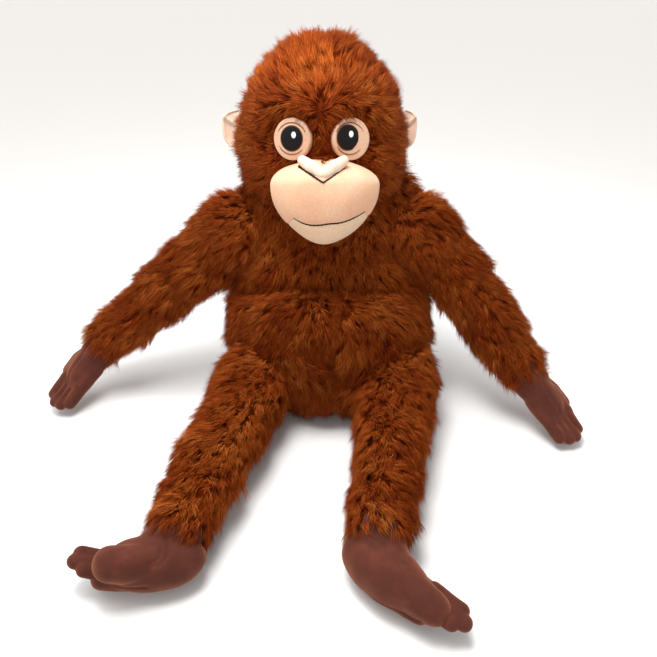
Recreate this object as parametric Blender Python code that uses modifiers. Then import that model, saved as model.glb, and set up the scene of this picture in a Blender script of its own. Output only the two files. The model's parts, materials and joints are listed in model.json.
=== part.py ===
"""Stuffed long-armed ape toy, sitting with its arms and legs spread. Blender 4.5, metres, +Z up.

The toy faces -Y. Its own left is +X, and names end in _l or _r for its own side. The origin is the
middle of the flat underside of its seat. Each limb part ends in a ball that sits in a recess of the
part it hangs from, so every body turns about the centre of its own ball.
"""
import math

import bmesh
import bpy
from mathutils import Matrix, Vector

# Fits, metres
GAP = 0.0005            # clearance that neighbouring pieces keep
HEAD_CLEARANCE = 0.004  # between the torso and the parts of the head that sweep over it
RECESS_SCALE = 1.045    # a faceted recess is this much wider than the ball that turns in it
PILE = 0.012            # thickness of the fur fabric, backing and mean pile together
CUTTER_SIZE = 0.5       # edge of a cutter that stands for a half space
SHARP_ANGLE = math.radians(50)
LEG_CUTS = 4            # angles at which room is cut for a thigh

# Facets
LIMB_SIDES, LIMB_RINGS = 14, 5
ROUND_SIDES, ROUND_RINGS = 16, 9
SMALL_SIDES, SMALL_RINGS = 8, 5
HEAD_SIDES, HEAD_RINGS = 24, 13
CORE_SIDES, CORE_RINGS = 12, 7

# Torso: height, centre y, half width, half depth of each ring from the seat to the neck
TORSO_RINGS = (
    (0.000, 0.004, 0.078, 0.074),
    (0.007, 0.002, 0.096, 0.088),
    (0.022, 0.000, 0.110, 0.098),
    (0.050, -0.001, 0.120, 0.104),
    (0.082, 0.001, 0.122, 0.105),
    (0.118, 0.008, 0.116, 0.099),
    (0.155, 0.019, 0.104, 0.087),
    (0.186, 0.027, 0.086, 0.068),
    (0.202, 0.031, 0.062, 0.050),
    (0.209, 0.033, 0.036, 0.030),
)
TORSO_SIDES = 22

# Care label, folded flat against the hip seam
LABEL_PLACE = Vector((0.098, 0.062, 0.045))
LABEL_TURN = math.radians(35)
LABEL_SIZE = (0.024, 0.0012, 0.022)

# Head: an egg whose long axis leans back
HEAD_CENTRE = Vector((-0.0065, 0.047, 0.288))
HEAD_RADII = (0.087, 0.086, 0.101)
HEAD_LEAN = math.radians(20)
NECK_PIVOT = Vector((-0.005, 0.036, 0.204))
NECK_RADIUS = 0.044
NOD_RANGE = (-8, 20)
TURN_RANGE = (-35, 35)

# Face, in the head's own frame: right, forward, up from the head's centre
MUZZLE_CENTRE = Vector((0.003, 0.066, -0.067))
MUZZLE_RADII = (0.051, 0.041, 0.037)
CHIN_CENTRE = Vector((0.003, 0.068, -0.086))
CHIN_RADII = (0.034, 0.030, 0.023)
NOSE_CENTRE = Vector((0.0015, 0.0915, -0.0370))
NOSE_SPREAD = 0.0100    # from the middle of the nose to the middle of a lobe
NOSE_SLOPE = math.radians(24)
NOSE_LOBE = (0.0145, 0.0080, 0.0062)
NOSE_CLEARANCE = (0.0250, 0.0120, 0.0140)
EYE_SPREAD = 0.0285     # sideways from the middle of the face
EYE_HEIGHT = -0.0105
EYE_LAYERS = (          # name, radius, lowest and highest distance from the patch's seat
    ("eye_patch", 0.0190, -0.0140, 0.0030),
    ("iris", 0.0122, 0.0035, 0.0047),
    ("pupil", 0.0095, 0.0052, 0.0062),
    ("glint", 0.0026, 0.0067, 0.0074),
)
GLINT_SHIFT = Vector((0.0035, 0.0, 0.0035))
EYE_OUTWARD = Vector((0.30, -1.0, -0.10))      # the way a patch faces in the head's frame, on the left
EYE_PATCH_SIDES = 24
LAYER_LOOKS = {"eye_patch": "pale", "glint": "white"}
EAR_HEIGHT = 0.003
EAR_BACK = 0.004        # the ears stand this far behind the head's widest line
EAR_RADII = (0.0115, 0.0045, 0.0205)
EAR_STANDOFF = 0.0025
EAR_DISH_SHIFT = -0.0100
EAR_DISH_RADII = (0.0100, 0.0080, 0.0155)
MOUTH_RADIUS = 0.0009
MOUTH_REACH, MOUTH_STEP = 52, 8         # degrees round the muzzle
MOUTH_LOW, MOUTH_RISE, MOUTH_BEND = -22, 16, 1.6
MOUTH_LIFT = 0.0016
NOSTRIL_RADIUS = 0.0011
NOSTRIL_REACH, NOSTRIL_STEP = 26, 13
NOSTRIL_LOW, NOSTRIL_RISE = 22, 14
NOSTRIL_LIFT = 0.0022

# Arms: shoulder, elbow, wrist, finger tip in the world, by side
ARM_RADII = (0.044, 0.037, 0.031)
ARMS = {
    "l": ((0.101, 0.018, 0.187), (0.157, -0.013, 0.134), (0.215, -0.064, 0.059), (0.262, -0.124, 0.012)),
    "r": ((-0.104, 0.018, 0.187), (-0.179, 0.009, 0.128), (-0.260, -0.011, 0.062), (-0.314, -0.074, 0.011)),
}
ARM_CONE_SLACK = math.radians(3)
ARM_CONE_END = 0.060    # how far outwards the cone that clears a swinging arm is cut
SPREAD_RANGE = (-6, 45)
ELBOW_RANGE = (0, 75)
WRIST_BALL = 0.0225

# Hands, along the hand from the wrist
PALM_MIDDLE = 0.0420
PALM_RADII = (0.0225, 0.0125, 0.0310)
PALM_NECK = (0.0080, (0.0170, 0.0150))
KNUCKLE = 0.0640
FINGER_RADIUS = 0.0068
FINGER_PITCH = 0.0112
FINGER_LENGTHS = (0.020, 0.025, 0.024, 0.018)
DIGIT_TAPER = 0.88
CURL_NOTCH = 32
THUMB = ((0.016, 0.002, 0.032), (0.027, 0.004, 0.050))
THUMB_RADII = (0.0090, 0.0075)
KNUCKLE_CUT_WIDTH = 0.06
PAD_SIZE = (0.026, 0.0060, 0.024)
PAD_STANDOFF = 0.0018   # how far a gripping pad's face stands off the palm or sole

# Legs: hip, knee, ankle, toe tip in the world, by side
LEG_RADII = (0.046, 0.038, 0.031)
LEGS = {
    "l": ((0.078, -0.064, 0.047), (0.061, -0.170, 0.040), (0.043, -0.266, 0.034), (0.118, -0.336, 0.022)),
    "r": ((-0.078, -0.064, 0.047), (-0.106, -0.168, 0.040), (-0.129, -0.264, 0.034),
          (-0.214, -0.274, 0.026)),
}
HIP_LIFT_RANGE = (-85, 0)
KNEE_RANGE = (0, 70)
ANKLE_BALL = 0.0235

# Feet: the centre is along the toes, up, and away from the leg. The radii are across, up and along.
FOOT_CENTRE = (0.0170, -0.0085, 0.0270)
FOOT_RADII = (0.0230, 0.0235, 0.0490)
FOOT_NECK_REACH = 0.6
FOOT_NECK_RADII = (0.0180, 0.0190)
TOE_LINE = 0.0550
TOE_DROP = 0.004
TOE_RADIUS = 0.0085
TOE_PITCH = 0.0125
TOE_LENGTHS = (0.022, 0.026, 0.020)
BIG_TOE = ((0.0160, -0.0140, 0.0180), (0.0355, -0.0130, 0.0480))    # across, down, along from its middle
BIG_TOE_RADII = (0.0135, 0.0115)
TOE_CUT_WIDTH = 0.07
SOLE_PAD_SIZE = (0.024, 0.0060, 0.036)

# The part that joins a limb inside its ball
WAD_SHARE = 0.45        # radius of the joining wad over the radius of the limb's ball
WAD_CHANNEL = 0.004     # radius of the channel through the stuffing to the wad
BALL_SHARE = 0.86       # radius of an elbow or knee ball over the radius of its limb
NOTCH_SLACK = 4         # degrees that a notch is wider than the bend it clears
CUFF_LIPS = {"wrist": 0.002, "ankle": -0.006}   # how far a cuff reaches past the centre of its joint
CUFF_FLOOR = 0.75       # how far into a cuff its padding stops short of the ball, over the ball's radius
CUFF_DOME = 0.12        # height of the blunt end of a cuff over its radius

COLOURS = {
    "fur": (0.30, 0.068, 0.020),
    "stuffing": (0.88, 0.87, 0.84),
    "velour": (0.16, 0.045, 0.028),
    "cream": (0.89, 0.62, 0.42),
    "pale": (0.95, 0.84, 0.70),
    "ear": (0.86, 0.58, 0.45),
    "thread": (0.030, 0.014, 0.010),
    "iris": (0.070, 0.024, 0.012),
    "pupil": (0.010, 0.008, 0.008),
    "white": (0.92, 0.92, 0.90),
    "pad": (0.10, 0.035, 0.024),
}
ROUGHNESS = {"pupil": 0.25, "white": 0.4, "iris": 0.5}

parts = None
guides = None


def clear_scene():
    for thing in list(bpy.data.objects):
        bpy.data.objects.remove(thing)


def collection(name):
    made = bpy.data.collections.new(name)
    bpy.context.scene.collection.children.link(made)
    return made


def material(name):
    made = bpy.data.materials.get(name)
    if made:
        return made
    made = bpy.data.materials.new(name)
    made.use_nodes = True
    shader = made.node_tree.nodes["Principled BSDF"]
    shader.inputs["Base Color"].default_value = (*COLOURS[name], 1.0)
    shader.inputs["Roughness"].default_value = ROUGHNESS.get(name, 0.9)
    shader.inputs["Metallic"].default_value = 0.0
    made.diffuse_color = (*COLOURS[name], 1.0)
    return made


def add_object(name, bm, looks=None, place=Matrix()):
    """A closed mesh as a named part, or as a guide for cutting when it has no looks."""
    bmesh.ops.recalc_face_normals(bm, faces=bm.faces)
    mesh = bpy.data.meshes.new(name)
    bm.to_mesh(mesh)
    bm.free()
    made = bpy.data.objects.new(name, mesh)
    made.matrix_world = place
    if looks is None:
        guides.objects.link(made)
        made.hide_render = True
        made.display_type = "WIRE"
        return made
    parts.objects.link(made)
    mesh.materials.append(material(looks))
    mesh.shade_smooth()
    mesh.set_sharp_from_angle(angle=SHARP_ANGLE)
    return made


def combine(piece, other, operation="DIFFERENCE"):
    """Cuts the other object out of the piece, or joins it on, as a Boolean modifier."""
    step = piece.modifiers.new(f"{operation.lower()}_{other.name}", "BOOLEAN")
    step.operation = operation
    step.object = other
    return piece


def frame_from(origin, along, side_hint):
    """A placing whose +Z runs along a direction, with +X as near to the hint as it can be."""
    z_axis = Vector(along).normalized()
    x_axis = (Vector(side_hint) - z_axis * z_axis.dot(Vector(side_hint))).normalized()
    y_axis = z_axis.cross(x_axis)
    return Matrix.Translation(origin) @ Matrix((x_axis, y_axis, z_axis)).transposed().to_4x4()


def ball(name, place, radii, looks=None, sides=ROUND_SIDES, rings=ROUND_RINGS):
    """A sphere or ellipsoid about the origin of its placing."""
    bm = bmesh.new()
    bmesh.ops.create_uvsphere(bm, u_segments=sides, v_segments=rings, radius=1.0)
    bmesh.ops.scale(bm, vec=Vector(radii), verts=bm.verts)
    return add_object(name, bm, looks, place)


def sphere(name, centre, radius, looks=None, sides=ROUND_SIDES, rings=ROUND_RINGS):
    return ball(name, Matrix.Translation(centre), (radius,) * 3, looks, sides, rings)


def recess(name, centre, radius):
    """The cutter for the recess that a ball of this radius turns in."""
    return sphere(name, centre, radius * RECESS_SCALE + GAP)


def tube(name, place, length, radii, caps=(1.0, 1.0), looks=None, sides=LIMB_SIDES, rings=LIMB_RINGS):
    """A round bar along +Z with a radius for each end. A cap of 1 is a half ball, and 0 is flat."""
    bm = bmesh.new()
    bmesh.ops.create_uvsphere(bm, u_segments=sides, v_segments=rings, radius=1.0)
    belt = math.cos(math.pi * (rings - 1) / 2 / rings)
    for vert in bm.verts:
        end = 1 if vert.co.z > 0 else 0
        rise = (abs(vert.co.z) - belt) / (1.0 - belt) * radii[end] * caps[end]
        vert.co.x *= radii[end] / math.sqrt(1.0 - belt * belt)
        vert.co.y *= radii[end] / math.sqrt(1.0 - belt * belt)
        vert.co.z = length + rise if end else -rise
    return add_object(name, bm, looks, place)


def block(name, place, size, looks=None, bevel=0.0):
    bm = bmesh.new()
    bmesh.ops.create_cube(bm, size=1.0)
    bmesh.ops.scale(bm, vec=Vector(size), verts=bm.verts)
    made = add_object(name, bm, looks, place)
    if bevel:
        step = made.modifiers.new("rounded_edges", "BEVEL")
        step.width = bevel
        step.segments = 2
    return made


def cone(name, place, start_radius, end_radius, low, high, looks=None, sides=ROUND_SIDES):
    """A cone frustum between two heights on the +Z axis of its placing."""
    bm = bmesh.new()
    bmesh.ops.create_cone(bm, cap_ends=True, segments=sides, radius1=start_radius, radius2=end_radius,
                          depth=high - low)
    bmesh.ops.translate(bm, vec=(0, 0, (low + high) / 2), verts=bm.verts)
    return add_object(name, bm, looks, place)


def disc(name, place, radius, low, high, looks, sides=ROUND_SIDES):
    """A round plate between two heights on the +Z axis of its placing."""
    return cone(name, place, radius, radius, low, high, looks, sides)


def thread(name, points, radius, looks):
    """A run of embroidery thread through the points, as a closed tube."""
    curve = bpy.data.curves.new(f"{name}_path", "CURVE")
    curve.dimensions = "3D"
    curve.bevel_depth = radius
    curve.bevel_resolution = 2
    curve.use_fill_caps = True
    spline = curve.splines.new("POLY")
    spline.points.add(len(points) - 1)
    for point, place in zip(spline.points, points):
        point.co = (*place, 1.0)
    guide = bpy.data.objects.new(f"{name}_path", curve)
    guides.objects.link(guide)
    bpy.context.view_layer.update()
    evaluated = guide.evaluated_get(bpy.context.evaluated_depsgraph_get())
    mesh = bpy.data.meshes.new_from_object(evaluated)
    bm = bmesh.new()
    bm.from_mesh(mesh)
    bmesh.ops.remove_doubles(bm, verts=bm.verts, dist=0.00005)
    made = add_object(name, bm, looks, guide.matrix_world.copy())
    bpy.data.objects.remove(guide)
    return made


def half_space(name, place):
    """A block that fills everything past the plane z = 0 of its placing."""
    return block(name, place @ Matrix.Translation((0, 0, CUTTER_SIZE / 2)), (CUTTER_SIZE,) * 3)


def notch(name, pivot, along, bend_towards, angle):
    """The corner that two limb parts need at the pivot to bend: a plane through it, turned by the angle."""
    place = frame_from(pivot, along, bend_towards)
    turn = Matrix.Rotation(math.radians(angle + NOTCH_SLACK), 4, "Y")
    corner = Matrix.Translation((CUTTER_SIZE / 2, 0, CUTTER_SIZE / 2))
    return block(name, place @ turn @ corner, (CUTTER_SIZE,) * 3)


def body_frame(name, pivot, parent=None):
    """The empty that a moving body hangs from, on its joint's axis."""
    empty = bpy.data.objects.new(name, None)
    empty.empty_display_size = 0.02
    parts.objects.link(empty)
    empty.location = Vector(pivot) - (Vector(parent["pivot"]) if parent else Vector())
    empty.parent = parent
    empty["pivot"] = tuple(pivot)
    return empty


def attach(empty, *pieces):
    """Hangs pieces from a body's empty, and leaves them where they are."""
    for piece in pieces:
        piece.parent = empty
        piece.matrix_parent_inverse = Matrix.Translation(-Vector(empty["pivot"]))


def torso_loft(name, inset, looks=None):
    """The egg of the torso, made smaller all round by the inset."""
    top = TORSO_RINGS[-1][0]
    bm = bmesh.new()
    rings = []
    for height, centre, half_width, half_depth in TORSO_RINGS:
        z = inset + height * (top - 2 * inset) / top
        corners = []
        for side in range(TORSO_SIDES):
            angle = 2 * math.pi * side / TORSO_SIDES
            x = (half_width - inset) * math.cos(angle)
            y = centre + (half_depth - inset) * math.sin(angle)
            corners.append(bm.verts.new((x, y, z)))
        rings.append(corners)
    for lower, upper in zip(rings, rings[1:]):
        for side in range(TORSO_SIDES):
            after = (side + 1) % TORSO_SIDES
            bm.faces.new((lower[side], lower[after], upper[after], upper[side]))
    bm.faces.new(rings[0])
    bm.faces.new(rings[-1])
    return add_object(name, bm, looks)


def head_place(nod=0.0, turn=0.0):
    """The head's own frame after the neck has moved: +X to its left, +Y backwards, +Z through the crown."""
    rest = Matrix.Translation(HEAD_CENTRE) @ Matrix.Rotation(-HEAD_LEAN, 4, "X")
    about = Matrix.Translation(NECK_PIVOT)
    move = Matrix.Rotation(math.radians(-nod), 4, "X") @ Matrix.Rotation(math.radians(turn), 4, "Z")
    return about @ move @ about.inverted() @ rest


def on_face(point, place=None):
    """A place given as right, forward and up in the head's frame, as a shift of that frame."""
    return (place or head_place()) @ Matrix.Translation((point.x, -point.y, point.z))


def grown(radii, by):
    return tuple(radius + by for radius in radii)


def head_egg(name, by=0.0, looks=None):
    sides, rings = (HEAD_SIDES, HEAD_RINGS) if by > -GAP else (ROUND_SIDES, ROUND_RINGS)
    return ball(name, head_place(), grown(HEAD_RADII, by), looks, sides, rings)


def muzzle_ball(name, by=0.0, looks=None):
    return ball(name, on_face(MUZZLE_CENTRE), grown(MUZZLE_RADII, by), looks, HEAD_SIDES, HEAD_RINGS)


def make_torso():
    root = body_frame("torso", (0, 0, 0))
    cover = torso_loft("torso_cover", 0.0, "fur")
    stuffing = torso_loft("torso_stuffing", PILE + GAP, "stuffing")
    hollow = torso_loft("torso_hollow", PILE)
    combine(cover, hollow)
    for piece, slack in ((cover, 0.0), (stuffing, GAP)):
        tag = piece.name
        combine(piece, recess(f"{tag}_neck_cut", NECK_PIVOT, NECK_RADIUS + slack))
        room = HEAD_CLEARANCE + slack
        for count, nod in enumerate((NOD_RANGE[0], 0.0, NOD_RANGE[1])):
            combine(piece, ball(f"{tag}_head_cut_{count}", head_place(nod), grown(HEAD_RADII, room)))
        for count, turn in enumerate((TURN_RANGE[0], 0.0, TURN_RANGE[1])):
            place = on_face(MUZZLE_CENTRE, head_place(NOD_RANGE[0], turn))
            combine(piece, ball(f"{tag}_muzzle_cut_{count}", place, grown(MUZZLE_RADII, room)))
        for side in "lr":
            cut_for_arm(piece, tag, side, slack)
            cut_for_leg(piece, tag, side, slack)
    label_place = Matrix.Translation(LABEL_PLACE) @ Matrix.Rotation(LABEL_TURN, 4, "Z")
    label = block("care_label", label_place, LABEL_SIZE, "white")
    combine(label, torso_loft("label_cut", -GAP))
    attach(root, cover, stuffing, label)
    return root


def cut_for_arm(piece, tag, side, slack):
    """Leaves room in the torso for an arm that swings round its shoulder: a recess and the cone past it."""
    shoulder, elbow = (Vector(point) for point in ARMS[side][:2])
    outward = Vector((1 if side == "l" else -1, 0, 0))
    combine(piece, recess(f"{tag}_shoulder_cut_{side}", shoulder, ARM_RADII[0] + slack))
    opening = outward.angle(elbow - shoulder) - math.radians(SPREAD_RANGE[0]) + ARM_CONE_SLACK
    radius = (ARM_RADII[0] + slack) * RECESS_SCALE + GAP
    start = -radius * math.sin(opening)
    narrow = radius * math.cos(opening)
    wide = narrow + (ARM_CONE_END - start) * math.tan(opening)
    place = frame_from(shoulder, outward, (0, 0, 1))
    combine(piece, cone(f"{tag}_arm_cut_{side}", place, narrow, wide, start, ARM_CONE_END))


def cut_for_leg(piece, tag, side, slack):
    """Leaves room in the torso for a leg at every angle between lying forward and hanging down."""
    hip, knee = (Vector(point) for point in LEGS[side][:2])
    radii = [(radius + slack) * RECESS_SCALE + GAP for radius in LEG_RADII[:2]]
    combine(piece, recess(f"{tag}_hip_cut_{side}", hip, LEG_RADII[0] + slack))
    forward = knee - hip
    reach = forward.length
    for step in range(LEG_CUTS):
        angle = math.radians(HIP_LIFT_RANGE[0]) * step / (LEG_CUTS - 1)
        along = Matrix.Rotation(-angle, 3, "X") @ forward
        place = frame_from(hip, along, (1, 0, 0))
        combine(piece, tube(f"{tag}_leg_cut_{side}_{step}", place, reach, radii))


def make_neck(root):
    nod = body_frame("neck", NECK_PIVOT, root)
    attach(nod, sphere("neck_stuffing", NECK_PIVOT, NECK_RADIUS, "stuffing"))
    return nod


def make_head(neck):
    head = body_frame("head", NECK_PIVOT, neck)
    cover = head_egg("head_cover", 0.0, "fur")
    combine(cover, head_egg("head_hollow", -PILE))
    stuffing = head_egg("head_stuffing", -PILE - GAP, "stuffing")
    combine(cover, recess("head_neck_cut", NECK_PIVOT, NECK_RADIUS))
    combine(stuffing, recess("head_stuffing_neck_cut", NECK_PIVOT, NECK_RADIUS + GAP))
    attach(head, cover, stuffing)
    make_muzzle(head)
    make_nose(head)
    for side, sign in (("l", 1), ("r", -1)):
        make_eye(head, side, sign)
        make_ear(head, side, sign)
    return head


def make_muzzle(head):
    muzzle = muzzle_ball("muzzle", 0.0, "cream")
    combine(muzzle, head_egg("muzzle_head_cut", GAP))
    combine(muzzle, recess("muzzle_neck_cut", NECK_PIVOT, NECK_RADIUS))
    chin = ball("chin", on_face(CHIN_CENTRE), CHIN_RADII, "cream")
    combine(chin, head_egg("chin_head_cut", GAP))
    combine(chin, muzzle_ball("chin_muzzle_cut", GAP))
    combine(chin, recess("chin_neck_cut", NECK_PIVOT, NECK_RADIUS))
    mouth = []
    for across in range(-MOUTH_REACH, MOUTH_REACH + 1, MOUTH_STEP):
        height = MOUTH_LOW + MOUTH_RISE * abs(across / MOUTH_REACH) ** MOUTH_BEND
        mouth.append(on_muzzle(across, height, MOUTH_LIFT))
    attach(head, muzzle, chin, thread("mouth_line", mouth, MOUTH_RADIUS, "thread"))


def on_muzzle(across, height, lift):
    """A point just off the muzzle, at angles in degrees across and up from its front."""
    across, height = math.radians(across), math.radians(height)
    wide, deep, tall = grown(MUZZLE_RADII, lift)
    local = Vector((
        wide * math.sin(across) * math.cos(height),
        -deep * math.cos(across) * math.cos(height),
        tall * math.sin(height),
    ))
    return on_face(MUZZLE_CENTRE) @ local


def make_nose(head):
    """Two slanting lobes that meet low in the middle, with the nostril line under them."""
    middle = on_face(NOSE_CENTRE)
    nose = None
    for sign in (1, -1):
        slope = middle @ Matrix.Rotation(-sign * NOSE_SLOPE, 4, "Y")
        place = slope @ Matrix.Translation((sign * NOSE_SPREAD, 0, 0))
        name = "nose" if nose is None else "nose_lobe"
        lobe = ball(name, place, NOSE_LOBE, None if nose else "pale")
        nose = combine(nose, lobe, "UNION") if nose else lobe
    combine(nose, muzzle_ball("nose_muzzle_cut", GAP))
    combine(nose, head_egg("nose_head_cut", GAP))
    line = []
    for across in range(-NOSTRIL_REACH, NOSTRIL_REACH + 1, NOSTRIL_STEP):
        height = NOSTRIL_LOW + NOSTRIL_RISE * abs(across / NOSTRIL_REACH)
        line.append(on_muzzle(across, height, NOSTRIL_LIFT))
    nostril = thread("nostril_line", line, NOSTRIL_RADIUS, "thread")
    attach(head, nose, nostril)


def make_eye(head, side, sign):
    """A patch on the head with the iris, the pupil and its glint in layers on it."""
    wide, deep, tall = HEAD_RADII
    forward = deep * math.sqrt(1 - (EYE_SPREAD / wide) ** 2 - (EYE_HEIGHT / tall) ** 2)
    seat = on_face(Vector((sign * EYE_SPREAD, forward, EYE_HEIGHT)))
    outward = seat.to_3x3() @ Vector((sign * EYE_OUTWARD.x, EYE_OUTWARD.y, EYE_OUTWARD.z))
    place = frame_from(seat.translation, outward, (1, 0, 0))
    for name, radius, low, high in EYE_LAYERS:
        shift = place
        if name == "glint":
            shift = place @ Matrix.Translation((GLINT_SHIFT.x, -GLINT_SHIFT.z, 0))
        looks = LAYER_LOOKS.get(name, name)
        sides = EYE_PATCH_SIDES if name == "eye_patch" else SMALL_SIDES
        layer = disc(f"{name}_{side}", shift, radius, low, high, looks, sides)
        if name == "eye_patch":
            combine(layer, head_egg(f"eye_head_cut_{side}", GAP))
            combine(layer, muzzle_ball(f"eye_muzzle_cut_{side}", GAP))
            combine(layer, ball(f"eye_nose_cut_{side}", on_face(NOSE_CENTRE), grown(NOSE_CLEARANCE, GAP)))
        attach(head, layer)


def ear_pivot(sign):
    wide = HEAD_RADII[0] * math.sqrt(1 - (EAR_HEIGHT / HEAD_RADII[2]) ** 2)
    return head_place() @ Vector((sign * (wide + EAR_STANDOFF), EAR_BACK, EAR_HEIGHT))


def make_ear(head, side, sign):
    """A dished ear that folds about the seam it stands on."""
    pivot = ear_pivot(sign)
    ear_body = body_frame(f"ear_{side}", pivot, head)
    place = head_place()
    place.translation = pivot
    place = place @ Matrix.Translation((sign * EAR_RADII[0], 0, 0))
    ear = ball(f"ear_cover_{side}", place, EAR_RADII, "ear")
    dish = place @ Matrix.Translation((0, EAR_DISH_SHIFT, 0))
    combine(ear, ball(f"ear_dish_{side}", dish, EAR_DISH_RADII))
    attach(ear_body, ear)


def core(name, place, length, radii, looks=None):
    """The inside of a limb part: the hollow of its cover, or the stuffing in it."""
    return tube(name, place, length, radii, (1.0, 1.0), looks, CORE_SIDES, CORE_RINGS)


def wad(name, centre, limb_radius):
    """The knot of stuffing in the middle of a limb's ball, which turns about the seam's first axis."""
    return sphere(name, centre, limb_radius * WAD_SHARE, "stuffing", CORE_SIDES, CORE_RINGS)


def upper_limb(name, start, end, onward, radii, bend_side, bend):
    """The upper part of a limb: a tube with a ball for a start, cut square to the part that follows it."""
    place = frame_from(start, end - start, (0, 0, 1))
    length = (end - start).length
    cover = tube(f"{name}_cover", place, length, radii, (1.0, 1.0), "fur")
    combine(cover, core(f"{name}_hollow", place, length, grown(radii, -PILE)))
    stuffing = core(f"{name}_stuffing", place, length, grown(radii, -PILE - GAP), "stuffing")
    combine(stuffing, recess(f"{name}_wad_cut", start, radii[0] * WAD_SHARE))
    channel = frame_from(start, start - end, (0, 0, 1))
    combine(stuffing, tube(f"{name}_wad_channel", channel, radii[0], (WAD_CHANNEL, WAD_CHANNEL)))
    face = frame_from(end, onward - end, (0, 0, 1)) @ Matrix.Translation((0, 0, -GAP))
    for piece, slack in ((cover, 0.0), (stuffing, GAP)):
        combine(piece, half_space(f"{piece.name}_face", face))
        combine(piece, recess(f"{piece.name}_ball_cut", end, radii[1] * BALL_SHARE + slack))
        combine(piece, notch(f"{piece.name}_notch", end, onward - end, bend_side, bend / 2))
    return cover, stuffing


def lower_limb(name, start, end, radii, bend_side, bend, end_ball, lip):
    """The lower part of a limb: a ball, a tube, and a recess in the blunt end for a hand or foot."""
    place = frame_from(start, end - start, (0, 0, 1))
    length = (end - start).length
    start_ball = radii[0] * BALL_SHARE
    shifted = place @ Matrix.Translation((0, 0, GAP))
    cover = tube(f"{name}_cover", shifted, length + lip - GAP, radii, (0.0, CUFF_DOME), "fur")
    combine(cover, notch(f"{name}_notch", start, start - end, bend_side, bend / 2))
    combine(cover, sphere(f"{name}_ball", start, start_ball, sides=LIMB_SIDES), "UNION")
    inside = (start_ball - PILE, start_ball - PILE)
    hollow_length = length - end_ball * CUFF_FLOOR
    combine(cover, core(f"{name}_hollow", place, hollow_length, inside))
    combine(cover, recess(f"{name}_end_cut", end, end_ball))
    stuffing = core(f"{name}_stuffing", place, hollow_length, grown(inside, -GAP), "stuffing")
    combine(stuffing, recess(f"{name}_stuffing_end_cut", end, end_ball + GAP))
    return cover, stuffing


def make_arm(root, side):
    shoulder, elbow, wrist = (Vector(point) for point in ARMS[side][:3])
    swing = body_frame(f"shoulder_{side}", shoulder, root)
    attach(swing, wad(f"shoulder_wad_{side}", shoulder, ARM_RADII[0]))
    upper = body_frame(f"upper_arm_{side}", shoulder, swing)
    forward = bend_direction(wrist - elbow, (0, -1, 0.3))
    bend = (forward, ELBOW_RANGE[1])
    attach(upper, *upper_limb(f"upper_arm_{side}", shoulder, elbow, wrist, ARM_RADII[:2], *bend))
    lower = body_frame(f"forearm_{side}", elbow, upper)
    cuff = (WRIST_BALL, CUFF_LIPS["wrist"])
    attach(lower, *lower_limb(f"forearm_{side}", elbow, wrist, ARM_RADII[1:], *bend, *cuff))
    make_hand(lower, side, wrist)


def bend_direction(along, hint):
    """The side that a limb bends towards, square to the limb."""
    along = Vector(along).normalized()
    hint = Vector(hint)
    return (hint - along * along.dot(hint)).normalized()


def hand_place(side):
    """The hand's frame at the wrist: +Z along the hand, +Y out of the palm, +X towards the thumb."""
    wrist, tip = Vector(ARMS[side][2]), Vector(ARMS[side][3])
    along = (tip - wrist).normalized()
    palm = bend_direction(along, (0, 0.25, -1))
    return frame_from(wrist, along, palm.cross(along))


def make_hand(forearm, side, wrist):
    hand = body_frame(f"hand_{side}", wrist, forearm)
    place = hand_place(side)
    thumb_sign = -1 if side == "l" else 1
    middle = place @ Matrix.Translation((0, 0, PALM_MIDDLE))
    palm = ball(f"hand_cover_{side}", middle, PALM_RADII, "velour")
    combine(palm, tube(f"hand_neck_{side}", place, *PALM_NECK, sides=SMALL_SIDES), "UNION")
    combine(palm, sphere(f"hand_ball_{side}", wrist, WRIST_BALL, sides=LIMB_SIDES), "UNION")
    knuckle = place @ Matrix.Translation((0, 0, KNUCKLE))
    along = place.to_3x3() @ Vector((0, 0, 1))
    palm_side = place.to_3x3() @ Vector((0, 1, 0))
    combine(palm, half_space(f"hand_end_{side}", knuckle))
    room = FINGER_RADIUS * RECESS_SCALE + GAP
    combine(palm, bar_across(f"knuckle_cut_{side}", knuckle, room, KNUCKLE_CUT_WIDTH))
    combine(palm, notch(f"knuckle_notch_{side}", knuckle.translation, along, palm_side, CURL_NOTCH))
    start, end = (Vector(point) for point in THUMB)
    start.x *= thumb_sign
    end.x *= thumb_sign
    thumb_frame = frame_from(place @ start, place.to_3x3() @ (end - start), palm_side)
    reach = (end - start).length
    thumb = tube(f"thumb_{side}", thumb_frame, reach, THUMB_RADII, looks="velour", sides=SMALL_SIDES)
    combine(thumb, ball(f"thumb_cut_{side}", middle, grown(PALM_RADII, GAP)))
    pad = palm_plate(f"palm_pad_{side}", middle, PALM_RADII, PAD_SIZE)
    attach(hand, palm, thumb, pad)
    fingers = body_frame(f"fingers_{side}", knuckle.translation, hand)
    made = digits(f"fingers_{side}_cover", knuckle, FINGER_LENGTHS, FINGER_PITCH, FINGER_RADIUS, thumb_sign)
    attach(fingers, made)


def bar_across(name, place, radius, length):
    """A round cutter along the X axis of its placing."""
    turned = place @ Matrix.Rotation(math.radians(90), 4, "Y") @ Matrix.Translation((0, 0, -length / 2))
    return tube(name, turned, length, (radius, radius))


def digits(name, place, lengths, pitch, radius, order):
    """Fingers or toes side by side in one sewn piece, each with its round root on the hinge line."""
    made = None
    for count, length in enumerate(lengths):
        across = order * (len(lengths) / 2 - 0.5 - count) * pitch
        root = place @ Matrix.Translation((across, 0, 0))
        part_name = name if made is None else f"{name}_{count}"
        looks = "velour" if made is None else None
        digit = tube(part_name, root, length, (radius, radius * DIGIT_TAPER), (1, 1), looks, SMALL_SIDES)
        made = combine(made, digit, "UNION") if made else digit
    return made


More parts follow.
